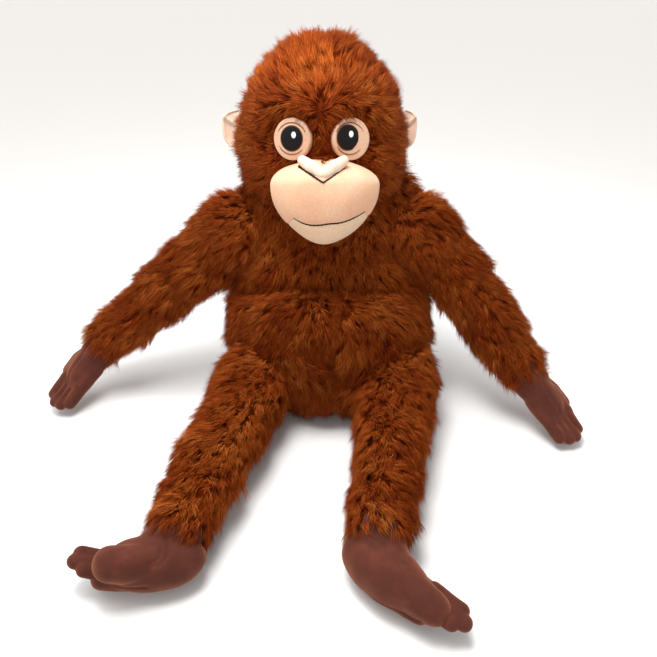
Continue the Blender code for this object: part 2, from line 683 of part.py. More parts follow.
def palm_plate(name, middle, radii, size):
    """A gripping pad with a flat face, let down onto the palm or sole."""
    place = middle @ Matrix.Translation((0, radii[1] + PAD_STANDOFF - size[1] / 2, 0))
    plate = block(name, place, size, "pad")
    return combine(plate, ball(f"{name}_cut", middle, grown(radii, GAP)))


def make_leg(root, side):
    hip, knee, ankle = (Vector(point) for point in LEGS[side][:3])
    lift = body_frame(f"hip_{side}", hip, root)
    attach(lift, wad(f"hip_wad_{side}", hip, LEG_RADII[0]))
    upper = body_frame(f"thigh_{side}", hip, lift)
    down = bend_direction(ankle - knee, (0, 0, -1))
    bend = (down, KNEE_RANGE[1])
    attach(upper, *upper_limb(f"thigh_{side}", hip, knee, ankle, LEG_RADII[:2], *bend))
    lower = body_frame(f"shin_{side}", knee, upper)
    cuff = (ANKLE_BALL, CUFF_LIPS["ankle"])
    attach(lower, *lower_limb(f"shin_{side}", knee, ankle, LEG_RADII[1:], *bend, *cuff))
    make_foot(lower, side, ankle)


def foot_place(side):
    """The foot's frame at the ankle: +Z along the toes, +Y down through the sole, +X to one side."""
    ankle, tip = Vector(LEGS[side][2]), Vector(LEGS[side][3])
    along = Vector((tip.x - ankle.x, tip.y - ankle.y, 0.0))
    return frame_from(ankle, along, Vector((0, 0, -1)).cross(along))


def make_foot(shin, side, ankle):
    foot = body_frame(f"foot_{side}", ankle, shin)
    place = foot_place(side)
    leg = (ankle - Vector(LEGS[side][1])).normalized()
    leg_side = place.to_3x3().transposed() @ leg
    outward = 1.0 if leg_side.x > 0 else -1.0
    along, up, away = FOOT_CENTRE
    middle = place @ Matrix.Translation((outward * away * abs(leg_side.x), -up, along + away * leg_side.z))
    cover = ball(f"foot_cover_{side}", middle, FOOT_RADII, "velour")
    link = middle.translation - ankle
    neck_frame = frame_from(ankle, link, (0, 0, 1))
    neck = tube(f"foot_neck_{side}", neck_frame, link.length * FOOT_NECK_REACH, FOOT_NECK_RADII)
    combine(cover, neck, "UNION")
    combine(cover, sphere(f"foot_ball_{side}", ankle, ANKLE_BALL, sides=LIMB_SIDES), "UNION")
    line = middle @ Matrix.Translation((0, TOE_DROP, TOE_LINE - along))
    down = place.to_3x3() @ Vector((0, 1, 0))
    forward = place.to_3x3() @ Vector((0, 0, 1))
    combine(cover, half_space(f"foot_end_{side}", line))
    combine(cover, bar_across(f"toe_cut_{side}", line, TOE_RADIUS * RECESS_SCALE + GAP, TOE_CUT_WIDTH))
    combine(cover, notch(f"toe_notch_{side}", line.translation, forward, down, CURL_NOTCH))
    start, end = (Vector((outward * across, drop, reach)) for across, drop, reach in BIG_TOE)
    toe_frame = frame_from(middle @ start, middle.to_3x3() @ (end - start), down)
    reach = (end - start).length
    toe = tube(f"big_toe_{side}", toe_frame, reach, BIG_TOE_RADII, looks="velour", sides=SMALL_SIDES)
    combine(toe, ball(f"big_toe_cut_{side}", middle, grown(FOOT_RADII, GAP)))
    pad = palm_plate(f"sole_pad_{side}", middle, FOOT_RADII, SOLE_PAD_SIZE)
    attach(foot, cover, toe, pad)
    toes = body_frame(f"toes_{side}", line.translation, foot)
    attach(toes, digits(f"toes_{side}_cover", line, TOE_LENGTHS, TOE_PITCH, TOE_RADIUS, outward))


def main():
    global parts, guides
    clear_scene()
    parts = collection("stuffed_ape")
    guides = collection("cutters")
    root = make_torso()
    make_head(make_neck(root))
    for side in "lr":
        make_arm(root, side)
        make_leg(root, side)


main()
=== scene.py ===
import json
import math

import bmesh
import bpy
import numpy as np
from mathutils import Matrix, Vector, noise
from mathutils.bvhtree import BVHTree


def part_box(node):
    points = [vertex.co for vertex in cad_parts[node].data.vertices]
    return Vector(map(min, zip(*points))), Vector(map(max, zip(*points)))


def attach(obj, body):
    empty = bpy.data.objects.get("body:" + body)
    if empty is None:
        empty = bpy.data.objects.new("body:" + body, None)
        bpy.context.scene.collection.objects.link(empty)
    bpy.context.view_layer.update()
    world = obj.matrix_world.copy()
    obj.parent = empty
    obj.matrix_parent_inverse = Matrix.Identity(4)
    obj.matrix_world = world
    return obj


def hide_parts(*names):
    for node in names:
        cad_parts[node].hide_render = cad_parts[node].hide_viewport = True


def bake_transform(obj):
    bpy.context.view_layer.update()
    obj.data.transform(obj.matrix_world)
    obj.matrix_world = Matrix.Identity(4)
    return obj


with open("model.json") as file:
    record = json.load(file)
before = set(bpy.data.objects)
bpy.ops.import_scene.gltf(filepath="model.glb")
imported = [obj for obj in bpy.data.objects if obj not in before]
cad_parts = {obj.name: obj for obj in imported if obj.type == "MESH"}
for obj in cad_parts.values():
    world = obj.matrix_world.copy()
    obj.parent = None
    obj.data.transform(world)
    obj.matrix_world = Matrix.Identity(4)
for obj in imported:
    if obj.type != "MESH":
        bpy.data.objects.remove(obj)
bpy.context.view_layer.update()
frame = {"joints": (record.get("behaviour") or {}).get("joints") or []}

# The sizes are in metres, in the CAD's frame: +Z up, the toy faces -Y, and "l" is its own left, +X.
PIVOT = {joint["name"]: Vector(joint["pos_m"]) for joint in frame["joints"]}
SIDES = (("l", 1), ("r", -1))

# Camera and light
CAMERA_PLACE = (0.0, -0.64, 0.48)
CAMERA_DIP = 32.5       # degrees below the horizon
CAMERA_WIDTH = 36.0
CAMERA_LENS = 35.07

# Fur
SKIN_DEPTH = 0.010      # the woven backing lies this far under the mean surface of the pile
STRAND_WIDTH = 0.00031
FLATNESS = 0.55         # thickness of a strand over its width
TUFT_AREA = 2.7e-5      # square metres of backing for each tuft
FLOOR_GAP = 0.0006
PIECE_TRIANGLES = 190000
STRAND_TRIANGLES = 10
# A ladder of fur tints, darkest first. Each strand takes one for its lower part and a lighter one for its end:
# painted shade at the roots and painted sheen on the tips.
FUR_TINTS = {
    "fur_root": (98, 30, 6),
    "fur_dark": (114, 39, 7),
    "fur_deep": (128, 48, 9),
    "fur_mid": (142, 58, 12),
    "fur_warm": (156, 69, 17),
    "fur_light": (170, 84, 26),
    "fur_pale": (190, 108, 46),
}

# Head, in its own frame: +X to its left, +Y backwards, +Z through the crown
HEAD_RADII = Vector((0.087, 0.086, 0.101))
HEAD_LEAN = math.radians(20)
MUZZLE_CENTRE = Vector((0.003, -0.066, -0.067))
NOSE_CENTRE = Vector((0.0015, -0.0915, -0.0370))
EYE_SPREAD = 0.0285
EYE_HEIGHT = -0.0105
PATCH_RADIUS = 0.0188
IRIS_RADIUS = 0.0115
PUPIL_RADIUS = 0.0105
GLINT_RADIUS = 0.0026
GAZE = {"l": (-0.0038, 0.0014), "r": (0.0002, 0.0006)}      # from the middle of the patch to the pupil's


def head_frame():
    """The head's own placing, from the box of its CAD cover."""
    low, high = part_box("head_cover")
    lean = math.hypot(HEAD_RADII.z * math.cos(HEAD_LEAN), HEAD_RADII.y * math.sin(HEAD_LEAN))
    depth = math.hypot(HEAD_RADII.y * math.cos(HEAD_LEAN), HEAD_RADII.z * math.sin(HEAD_LEAN))
    centre = Vector(((low.x + high.x) / 2, high.y - depth, high.z - lean))
    return Matrix.Translation(centre) @ Matrix.Rotation(-HEAD_LEAN, 4, "X")


HEAD = head_frame()


# ---------------------------------------------------------------- materials

def linear(srgb):
    """A colour given as 0 to 255 sRGB values, as the linear RGBA that shaders take."""
    parts = [value / 255 for value in srgb]
    parts = [p / 12.92 if p <= 0.04045 else ((p + 0.055) / 1.055) ** 2.4 for p in parts]
    return (*parts, 1.0)


def plain(name, srgb, roughness, sheen=0.0, sheen_tint=(255, 200, 150), specular=0.3):
    made = bpy.data.materials.new(name)
    made.use_nodes = True
    shader = made.node_tree.nodes["Principled BSDF"]
    shader.inputs["Base Color"].default_value = linear(srgb)
    shader.inputs["Roughness"].default_value = roughness
    shader.inputs["Specular IOR Level"].default_value = specular
    shader.inputs["Sheen Weight"].default_value = sheen
    shader.inputs["Sheen Roughness"].default_value = 0.45
    shader.inputs["Sheen Tint"].default_value = linear(sheen_tint)
    return made


def noise_node(tree, coords, scale, detail=3.0, roughness=0.55):
    node = tree.nodes.new("ShaderNodeTexNoise")
    node.inputs["Scale"].default_value = scale
    node.inputs["Detail"].default_value = detail
    node.inputs["Roughness"].default_value = roughness
    tree.links.new(coords, node.inputs["Vector"])
    return node.outputs["Fac"]


def ramp_node(tree, factor, stops):
    node = tree.nodes.new("ShaderNodeValToRGB")
    ramp = node.color_ramp
    while len(ramp.elements) < len(stops):
        ramp.elements.new(0.5)
    for element, (place, srgb) in zip(ramp.elements, stops):
        element.position = place
        element.color = linear(srgb)
    tree.links.new(factor, node.inputs["Fac"])
    return node.outputs["Color"]


def multiplied(tree, first, second):
    """The product of two colours."""
    node = tree.nodes.new("ShaderNodeMix")
    node.data_type = "RGBA"
    node.blend_type = "MULTIPLY"
    colours = {socket.name: socket for socket in node.inputs if socket.type == "RGBA"}
    factor = [socket for socket in node.inputs if socket.name == "Factor" and socket.type == "VALUE"]
    factor[0].default_value = 1.0
    tree.links.new(first, colours["A"])
    tree.links.new(second, colours["B"])
    return [socket for socket in node.outputs if socket.type == "RGBA"][0]


def add_bump(tree, height, strength, distance):
    lift = tree.nodes.new("ShaderNodeBump")
    lift.inputs["Strength"].default_value = strength
    lift.inputs["Distance"].default_value = distance
    tree.links.new(height, lift.inputs["Height"])
    tree.links.new(lift.outputs["Normal"], tree.nodes["Principled BSDF"].inputs["Normal"])


def fabric(name, stops, nap, patches, bump, sheen, sheen_tint=(255, 220, 190), specular=0.3):
    """Short-pile cloth: patches where the nap lies differently, a fine grain, and a velvet edge."""
    made = plain(name, stops[len(stops) // 2][1], CLOTH_ROUGHNESS, sheen, sheen_tint, specular)
    tree = made.node_tree
    coords = tree.nodes.new("ShaderNodeTexCoord").outputs["Object"]
    broad = noise_node(tree, coords, patches, 4.0)
    grain = noise_node(tree, coords, nap, 2.0)
    tone = ramp_node(tree, broad, stops)
    speck = ramp_node(tree, grain, GRAIN_SHADES)
    tree.links.new(multiplied(tree, tone, speck), tree.nodes["Principled BSDF"].inputs["Base Color"])
    add_bump(tree, grain, bump, NAP_HEIGHT)
    return made


def embroidery(name, dark, light, scale, roughness=0.5):
    """Satin stitches: fine parallel threads that catch the light."""
    made = plain(name, dark, roughness, specular=0.2)
    tree = made.node_tree
    wave = tree.nodes.new("ShaderNodeTexWave")
    wave.inputs["Scale"].default_value = scale
    wave.inputs["Distortion"].default_value = 1.5
    wave.inputs["Detail"].default_value = 2.0
    tree.links.new(tree.nodes.new("ShaderNodeTexCoord").outputs["Object"], wave.inputs["Vector"])
    colour = ramp_node(tree, wave.outputs["Fac"], ((0.0, dark), (1.0, light)))
    tree.links.new(colour, tree.nodes["Principled BSDF"].inputs["Base Color"])
    add_bump(tree, wave.outputs["Fac"], 0.5, STITCH_HEIGHT)
    return made


CLOTH_ROUGHNESS = 0.85
NAP_HEIGHT = 0.0006
STITCH_HEIGHT = 0.0003
GRAIN_SHADES = ((0.3, (205, 205, 205)), (0.75, (255, 255, 255)))
SKIN_TONES = ((0.3, (252, 190, 152)), (0.55, (255, 202, 166)), (0.8, (255, 214, 182)))
EAR_TONES = ((0.3, (240, 196, 168)), (0.55, (250, 214, 188)), (0.8, (255, 232, 212)))
VELOUR_TONES = ((0.25, (70, 27, 15)), (0.5, (86, 36, 22)), (0.8, (108, 50, 33)))
# Tones, scale of the nap, scale of its patches, bump, sheen, and then the sheen's tint and the shine
CLOTHS = {
    "backing": (((0.3, (104, 35, 8)), (0.7, (130, 50, 12))), 500, 60, 0.6, 0.0, (255, 220, 190), 0.03),
    "velour": (VELOUR_TONES, 1400, 52, 0.45, 0.40, (255, 160, 112)),
    "cream": (SKIN_TONES, 1800, 30, 0.2, 0.3),
    "chin": (((0.3, (253, 215, 178)), (0.7, (255, 226, 194))), 1800, 30, 0.2, 0.3),
    # The eye patches' cream, darker than the pale nose cream: painted shade from the brow over the patches.
    "eyecream": (((0.3, (226, 178, 146)), (0.7, (242, 198, 166))), 1800, 40, 0.2, 0.2),
    "pale": (((0.3, (250, 220, 192)), (0.7, (255, 232, 208))), 1800, 40, 0.2, 0.3),
    "ear": (EAR_TONES, 1600, 50, 0.25, 0.4),
    "patch": (((0.3, (138, 98, 76)), (0.7, (164, 120, 94))), 700, 60, 0.5, 0.2),
    "label": (((0.3, (232, 231, 226)), (0.7, (248, 247, 243))), 900, 60, 0.3, 0.1),
}
# Darker and lighter thread, scale of the stitches, and then the roughness
THREADS = {
    "thread": ((26, 16, 14), (58, 38, 32), 900),
    "soft_thread": ((74, 48, 38), (110, 76, 60), 900),
    "iris": ((70, 34, 18), (112, 62, 34), 700),
    "pupil": ((8, 7, 7), (18, 16, 16), 800, 0.6),
    "glint": ((232, 232, 230), (255, 255, 255), 800, 0.4),
}
LOOKS = {name: plain(name, srgb, 0.7, specular=0.08) for name, srgb in FUR_TINTS.items()}
LOOKS.update({name: fabric(name, *given) for name, given in CLOTHS.items()})
LOOKS.update({name: embroidery(name, *given) for name, given in THREADS.items()})


# ---------------------------------------------------------------- meshes

def link(name, mesh, looks):
    made = bpy.data.objects.new(name, mesh)
    bpy.context.scene.collection.objects.link(made)
    mesh.materials.clear()
    for look in looks if isinstance(looks, (list, tuple)) else (looks,):
        mesh.materials.append(LOOKS[look])
    mesh.shade_smooth()
    return made


def points_of(mesh):
    co = np.empty(len(mesh.vertices) * 3, np.float32)
    mesh.vertices.foreach_get("co", co)
    return co.reshape(-1, 3).astype(float)


def normals_of(mesh):
    found = np.empty(len(mesh.vertices) * 3, np.float32)
    mesh.vertices.foreach_get("normal", found)
    return found.reshape(-1, 3).astype(float)


def move_points(mesh, co):
    mesh.vertices.foreach_set("co", co.astype(np.float32).ravel())
    mesh.update()


def mesh_from(bm, name):
    """The forms in bm as a mesh. It uses bm up."""
    mesh = bpy.data.meshes.new(name)
    bm.to_mesh(mesh)
    bm.free()
    return mesh


def join_rings(bm, lower, upper):
    """Faces between two rings with as many corners each."""
    for corner in range(len(lower)):
        after = (corner + 1) % len(lower)
        bm.faces.new((lower[corner], lower[after], upper[after], upper[corner]))


def close_tube(bm, rings):
    """Faces along a row of rings, with a face over each end."""
    for lower, upper in zip(rings, rings[1:]):
        join_rings(bm, lower, upper)
    bm.faces.new(rings[0][::-1])
    bm.faces.new(rings[-1])


def surface_tree(*meshes):
    """A tree that finds places on meshes, as they are without modifiers."""
    corners, faces = [], []
    for mesh in meshes:
        shift = len(corners)
        corners += [vert.co.copy() for vert in mesh.vertices]
        faces += [[shift + k for k in face.vertices] for face in mesh.polygons]
    return BVHTree.FromPolygons(corners, faces)


def moved(points, place):
    """An array of points taken through a placing."""
    return points @ np.array(place.to_3x3()).T + np.array(place.translation)


def frame_from(origin, along, side_hint):
    """A placing whose +Z runs along a direction, with +X as near to the hint as it can be."""
    z_axis = Vector(along).normalized()
    x_axis = (Vector(side_hint) - z_axis * z_axis.dot(Vector(side_hint))).normalized()
    return Matrix.Translation(origin) @ Matrix((x_axis, z_axis.cross(x_axis), z_axis)).transposed().to_4x4()


def add_ball(bm, place, radii, sides=32, rings=20):
    """A stretched ball about the origin of its placing."""
    made = bmesh.ops.create_uvsphere(bm, u_segments=sides, v_segments=rings, radius=1.0)["verts"]
    bmesh.ops.scale(bm, vec=Vector(radii), verts=made)
    bmesh.ops.transform(bm, matrix=place, verts=made)


def add_capsule(bm, start, end, radii, flat=1.0, flat_axis=(0, 0, 1), sides=24, rings=16):
    """A round-ended bar from start to end with a radius for each end, pressed flat along one axis."""
    start, end = Vector(start), Vector(end)
    place = frame_from(start, end - start, flat_axis)
    length = (end - start).length
    made = bmesh.ops.create_uvsphere(bm, u_segments=sides, v_segments=rings, radius=1.0)["verts"]
    for vert in made:
        radius = radii[1] if vert.co.z > 0 else radii[0]
        vert.co = Vector((vert.co.x * radius * flat, vert.co.y * radius, vert.co.z * radius))
        if vert.co.z > 0:
            vert.co.z += length
    bmesh.ops.transform(bm, matrix=place, verts=made)


def soft_mesh(name, bm, voxel, smoothing=4):
    """The forms in bm as one closed mesh with even small faces and soft folds between them."""
    mesh = mesh_from(bm, name)
    raw = bpy.data.objects.new(f"{name}_raw", mesh)
    bpy.context.scene.collection.objects.link(raw)
    step = raw.modifiers.new("remesh", "REMESH")
    step.mode = "VOXEL"
    step.voxel_size = voxel
    ease = raw.modifiers.new("smooth", "SMOOTH")
    ease.factor = 0.5
    ease.iterations = smoothing
    bpy.context.view_layer.update()
    made = bpy.data.meshes.new_from_object(raw.evaluated_get(bpy.context.evaluated_depsgraph_get()))
    made.name = name
    bpy.data.objects.remove(raw)
    return made


def distance_to_path(points, path):
    """The distance of each point to a polyline."""
    best = np.full(len(points), np.inf)
    for start, end in zip(path, path[1:]):
        start, end = np.array(start, float), np.array(end, float)
        run = end - start
        t = np.clip(((points - start) @ run) / (run @ run), 0, 1)
        best = np.minimum(best, np.linalg.norm(points - start - t[:, None] * run, axis=1))
    return best


def press_seam(mesh, path, width, depth):
    """Draws the surface in along a path, as a sewn seam does."""
    co, normals = points_of(mesh), normals_of(mesh)
    near = distance_to_path(co, path)
    co -= normals * (depth * np.exp(-(near / width) ** 2))[:, None]
    move_points(mesh, co)


def ripple(mesh, scale, amount, seed):
    """Moves the surface in and out by smooth noise, as uneven stuffing does."""
    co, normals = points_of(mesh), normals_of(mesh)
    shift = Vector((seed * 7.31, seed * 3.17, seed * 1.93))
    lift = np.array([noise.noise(Vector(point) * scale + shift) for point in co])
    move_points(mesh, co + normals * (lift * amount)[:, None])


def thread(name, path, radius, look, body, node=None, sides=8, ends=0.5):
    """Embroidery thread along a path of points: a twisted tube, thinner towards its ends."""
    path = [Vector(point) for point in path]
    bm = bmesh.new()
    rings = []
    for count, point in enumerate(path):
        ahead = path[min(count + 1, len(path) - 1)] - path[max(count - 1, 0)]
        place = frame_from(point, ahead, (0.1, 0.2, 1.0))
        t = count / (len(path) - 1)
        size = radius(t) if callable(radius) else radius * (1 - (1 - ends) * abs(2 * t - 1) ** 4)
        size *= 1 + 0.12 * math.sin(count * 1.9)
        ring = []
        for side in range(sides):
            angle = 2 * math.pi * side / sides + count * 0.35
            ring.append(bm.verts.new(place @ Vector((size * math.cos(angle), size * math.sin(angle), 0))))
        rings.append(ring)
    close_tube(bm, rings)
    bmesh.ops.recalc_face_normals(bm, faces=bm.faces)
    mesh = mesh_from(bm, name)
    made = link(name, mesh, look)
    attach(made, body)
    if node:
        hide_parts(node)
    return made


# ---------------------------------------------------------------- fur

def surface_points(mesh, count, rng):
    """Points spread over a mesh by area, with the surface normals there."""
    mesh.calc_loop_triangles()
    corners = np.empty(len(mesh.loop_triangles) * 3, np.int32)
    mesh.loop_triangles.foreach_get("vertices", corners)
    corners = corners.reshape(-1, 3)
    co, normals = points_of(mesh), normals_of(mesh)
    a, b, c = (co[corners[:, k]] for k in range(3))
    area = np.linalg.norm(np.cross(b - a, c - a), axis=1)
    steps = (np.arange(count) + rng.random(count)) / count
    pick = np.minimum(np.searchsorted(np.cumsum(area) / area.sum(), steps), len(area) - 1)
    root, share = np.sqrt(rng.random(count)), rng.random(count)
    weights = np.stack([1 - root, root * (1 - share), root * share], axis=1)
    spots = sum(co[corners[pick, k]] * weights[:, k:k + 1] for k in range(3))
    out = sum(normals[corners[pick, k]] * weights[:, k:k + 1] for k in range(3))
    return spots, unit(out)


def unit(vectors):
    return vectors / np.maximum(np.linalg.norm(vectors, axis=1, keepdims=True), 1e-9)


def flattened(directions, normals):
    """Directions laid into the surface."""
    return unit(directions - normals * np.sum(directions * normals, axis=1, keepdims=True))


def smooth_noise(points, scale, seed):
    shift = Vector((seed * 5.1, seed * 2.3, -seed * 3.7))
    return np.array([noise.noise(Vector(point) * scale + shift) for point in points])


def grow(mesh, area_each, comb, rng, seed, length=0.020, lean=(28, 72), strands=24, allow=None, trim=None,
         swirl=0.9):
    """Tufts of fur over a mesh, as arrays for strands. comb gives the way the fur lies at points.
    allow says which strands may stay, and trim gives each tuft's length over the usual one."""
    area = sum(face.area for face in mesh.polygons)
    count = int(area / area_each)
    spots, normals = surface_points(mesh, count, rng)
    lay = flattened(comb(spots), normals)
    side = np.cross(normals, lay)
    turn = swirl * smooth_noise(spots, 26.0, seed) + 0.28 * rng.standard_normal(count)
    lay = lay * np.cos(turn)[:, None] + side * np.sin(turn)[:, None]
    side = np.cross(normals, lay)
    size = length * (1 + 0.22 * smooth_noise(spots, 60.0, seed + 3) + 0.12 * rng.standard_normal(count))
    if trim is not None:
        size = size * trim(spots)
    low, high = (math.radians(value) for value in lean)
    rise = low + (high - low) * (0.15 + 0.5 * rng.random(count))
    tone = 0.5 + 0.34 * smooth_noise(spots, 34.0, seed + 9) + 0.10 * rng.standard_normal(count)
    reach = 1.25 * math.sqrt(area_each / math.pi)
    one = np.repeat(np.arange(count), strands)
    total = len(one)
    angle, far = rng.random(total) * 2 * math.pi, reach * np.sqrt(rng.random(total))
    offset = lay[one] * (far * np.cos(angle))[:, None] + side[one] * (far * np.sin(angle))[:, None]
    long = size[one] * (0.72 + 0.4 * rng.random(total))
    wander = (lay[one] * rng.standard_normal(total)[:, None] + side[one] * rng.standard_normal(total)[:, None])
    fur = {
        "root": spots[one] + offset - normals[one] * 0.0012,
        "normal": normals[one],
        "lay": lay[one],
        "length": long,
        "start": rise[one] * 0.6 + 0.12 * rng.standard_normal(total),
        "finish": rise[one] + (high - low) * (0.45 + 0.25 * rng.random(total)),
        "gather": -offset * np.where(rng.random(total) < 0.6, 0.48, 0.0)[:, None] + wander * 0.0021,
        "tone": tone[one] + 0.16 * rng.standard_normal(total),
        "width": STRAND_WIDTH * (0.8 + 0.5 * rng.random(total)),
    }
    if allow is not None:
        keep = allow(fur["root"], along_strand(fur, 0.55), along_strand(fur, 1.0))
        fur = {key: value[keep] for key, value in fur.items()}
    return fur


def along_strand(fur, s):
    """Where the strands are at a share of their length: they bend over from start to finish."""
    start, finish = fur["start"], fur["finish"]
    sweep = np.where(np.abs(finish - start) < 0.02, 0.02, finish - start)
    now = start + sweep * s
    up = (np.sin(now) - np.sin(start)) / sweep
    over = (np.cos(start) - np.cos(now)) / sweep
    long = fur["length"][:, None]
    place = fur["root"] + long * (fur["normal"] * up[:, None] + fur["lay"] * over[:, None])
    return place + fur["gather"] * s ** 1.4


RING_SHARES = (0.0, 0.46)
RING_WIDTHS = (0.9, 1.0)
STRAND_POINTS = 3 * len(RING_SHARES) + 1
TINT_ORDER = list(FUR_TINTS)


def strand_mesh(name, fur):
    """Closed three-sided strands, darker below as painted shade among the roots and lighter at the ends as painted
    sheen.
    """
    count = len(fur["root"])
    tip = along_strand(fur, 1.0)
    run = unit(tip - fur["root"])
    wide = unit(np.cross(run, fur["normal"]) + 1e-6)
    thick = np.cross(run, wide)
    co = np.empty((count, STRAND_POINTS, 3))
    for ring, (share, size) in enumerate(zip(RING_SHARES, RING_WIDTHS)):
        centre = along_strand(fur, share)
        for corner in range(3):
            angle = 2 * math.pi * corner / 3 + math.pi / 6
            shift = wide * math.cos(angle) + thick * (math.sin(angle) * FLATNESS)
            co[:, ring * 3 + corner] = centre + shift * (fur["width"] * size)[:, None]
    co[:, -1] = tip
    low = co[:, :, 2].min(axis=1) < FLOOR_GAP
    spread = FLOOR_GAP * (1 + 1.5 * np.arange(STRAND_POINTS) / STRAND_POINTS)
    co[low, :, 2] = np.maximum(co[low, :, 2], spread)
    last = STRAND_POINTS - 4
    quads = [(k, (k + 1) % 3, last + (k + 1) % 3, last + k) for k in range(3)]
    tris = [(last + k, last + (k + 1) % 3, STRAND_POINTS - 1) for k in range(3)] + [(2, 1, 0)]
    pattern = np.array([corner for face in quads + tris for corner in face])
    sizes = np.array([4] * len(quads) + [3] * len(tris))
    loops = (np.arange(count)[:, None] * STRAND_POINTS + pattern[None, :]).ravel()
    totals = np.tile(sizes, count)
    starts = np.concatenate(([0], np.cumsum(totals)[:-1]))
    mesh = bpy.data.meshes.new(name)
    mesh.vertices.add(count * STRAND_POINTS)
    mesh.vertices.foreach_set("co", co.astype(np.float32).ravel())
    mesh.loops.add(len(loops))
    mesh.loops.foreach_set("vertex_index", loops.astype(np.int32))
    mesh.polygons.add(len(totals))
    mesh.polygons.foreach_set("loop_start", starts.astype(np.int32))
    top = len(TINT_ORDER) - 1
    # The lower part keeps the strand's own tint and the end goes one or two steps lighter: painted shade low among
    # the roots and a painted sheen on the tips.
    body = np.clip(np.rint(fur["tone"] * (top - 1)), 0, top - 1).astype(np.int32)
    end = np.minimum(body + 1 + (fur["tone"] * 7 % 1 > 0.6), top)
    tints = np.empty((count, len(sizes)), np.int32)
    tints[:, :3] = body[:, None]
    tints[:, 3:] = end[:, None]
    made = link(name, mesh, TINT_ORDER)
    mesh.polygons.foreach_set("material_index", tints.ravel())
    mesh.update(calc_edges=True)
    mesh.validate()
    return made


def lay_fur(name, fur, settle, order):
    """Makes the strands into as many pieces as the export needs, cut across an axis, and settles each."""
    count = len(fur["root"])
    pieces = max(1, math.ceil(count * STRAND_TRIANGLES / PIECE_TRIANGLES))
    rank = np.argsort(fur["root"] @ np.array(order, float), kind="stable")
    for number, share in enumerate(np.array_split(rank, pieces)):
        made = strand_mesh(f"{name}_{number + 1}", {key: value[share] for key, value in fur.items()})
        settle(made)


def riding(body):
    return lambda piece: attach(piece, body)


# ---------------------------------------------------------------- torso

# Height, middle in y, half width and half depth of the skin's outline before it is set in
TORSO_OUTLINE = (
    (0.000, 0.004, 0.078, 0.074),
    (0.012, 0.003, 0.100, 0.090),
    (0.040, 0.002, 0.118, 0.102),
    (0.082, 0.001, 0.122, 0.105),
    (0.118, 0.005, 0.116, 0.097),
    (0.148, 0.012, 0.103, 0.083),
    (0.162, 0.016, 0.097, 0.075),
    (0.180, 0.023, 0.094, 0.066),
    (0.205, 0.029, 0.101, 0.057),
    (0.228, 0.034, 0.103, 0.051),
    (0.247, 0.038, 0.090, 0.042),
    (0.258, 0.040, 0.058, 0.028),
)
CREASE_HEIGHT = 0.158
BELLY_DIMPLE = Vector((0.006, -0.098, 0.080))


def torso_skin():
    bm = bmesh.new()
    rings = []
    sides = 40
    for height, middle, wide, deep in TORSO_OUTLINE:
        ring = []
        for side in range(sides):
            angle = 2 * math.pi * side / sides
            ring.append(bm.verts.new(((wide - SKIN_DEPTH) * math.cos(angle),
                                      middle + (deep - SKIN_DEPTH) * math.sin(angle),
                                      max(height, SKIN_DEPTH * 0.55))))
        rings.append(ring)
    close_tube(bm, rings)
    mesh = soft_mesh("torso_skin", bm, 0.005, 8)
    co, normals = points_of(mesh), normals_of(mesh)
    front = np.clip(-co[:, 1] / 0.06, 0, 1)
    crease = np.exp(-((co[:, 2] - CREASE_HEIGHT + 0.02 * (co[:, 0] / 0.09) ** 2) / 0.009) ** 2) * front
    seam = np.exp(-((co[:, 0] - 0.006) / 0.006) ** 2) * front * (co[:, 2] < 0.15)
    dimple = np.exp(-np.linalg.norm(co - np.array(BELLY_DIMPLE), axis=1) ** 2 / 0.018 ** 2)
    back_seam = np.exp(-(co[:, 0] / 0.006) ** 2) * (co[:, 1] > 0.02)
    waist = np.exp(-((co[:, 2] - 0.145) / 0.010) ** 2) * (co[:, 1] > 0.0)
    bulge = np.exp(-((co[:, 2] - 0.128) / 0.014) ** 2) * front * np.clip(1.2 - np.abs(co[:, 0]) / 0.09, 0, 1)
    inward = 0.013 * crease + 0.007 * seam + 0.009 * dimple + 0.006 * back_seam + 0.005 * waist - 0.005 * bulge
    co -= normals * inward[:, None]
    move_points(mesh, co)
    ripple(mesh, 28.0, 0.004, 1)
    made = link("torso_skin", mesh, "backing")
    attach(made, "torso")
    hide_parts("torso_cover", "torso_stuffing")
    return made


def torso_comb(spots):
    """Down and outwards over the body, towards the dimple on the belly."""
    lay = np.tile((0.0, -0.15, -1.0), (len(spots), 1))
    lay[:, 0] += 2.5 * spots[:, 0] / 0.12 * 0.25
    to_dimple = np.array(BELLY_DIMPLE) - spots
    near = np.exp(-np.linalg.norm(to_dimple, axis=1) / 0.05)
    return lay + unit(to_dimple) * (1.6 * near)[:, None]


def make_torso():
    skin = torso_skin()
    rng = np.random.default_rng(11)
    head_in = HEAD.inverted()

    def allow(roots, middles, tips):
        return (roots[:, 2] > 0.004) & (outside_head(tips, head_in, 0.93))

    fur = grow(skin.data, TUFT_AREA, torso_comb, rng, 1, allow=allow)
    lay_fur("torso_fur", fur, riding("torso"), (0, 1, 0.2))


def outside_head(points, head_in, share):
    """Which points lie outside the head's egg made smaller by the share."""
    return np.sum((moved(points, head_in) / (np.array(HEAD_RADII) * share)) ** 2, axis=1) > 1.0


# ---------------------------------------------------------------- limbs

LIMB_LEAN = (36, 78)
ARM_RADII = (0.0475, 0.0375, 0.0300)        # at the root, halfway and at the cuff
LEG_RADII = (0.0475, 0.0385, 0.0310)


def bent_path(start, corner, end, steps=44, ease=0.35):
    """Points from start to end by way of the corner, which is rounded off."""
    points = []
    first, last = corner.lerp(start, ease), corner.lerp(end, ease)
    for count in range(steps + 1):
        t = count / steps * 3
        if t < 1:
            points.append(start.lerp(first, t))
        elif t < 2:
            u = t - 1
            points.append(first.lerp(corner, u).lerp(corner.lerp(last, u), u))
        else:
            points.append(last.lerp(end, t - 2))
    return points


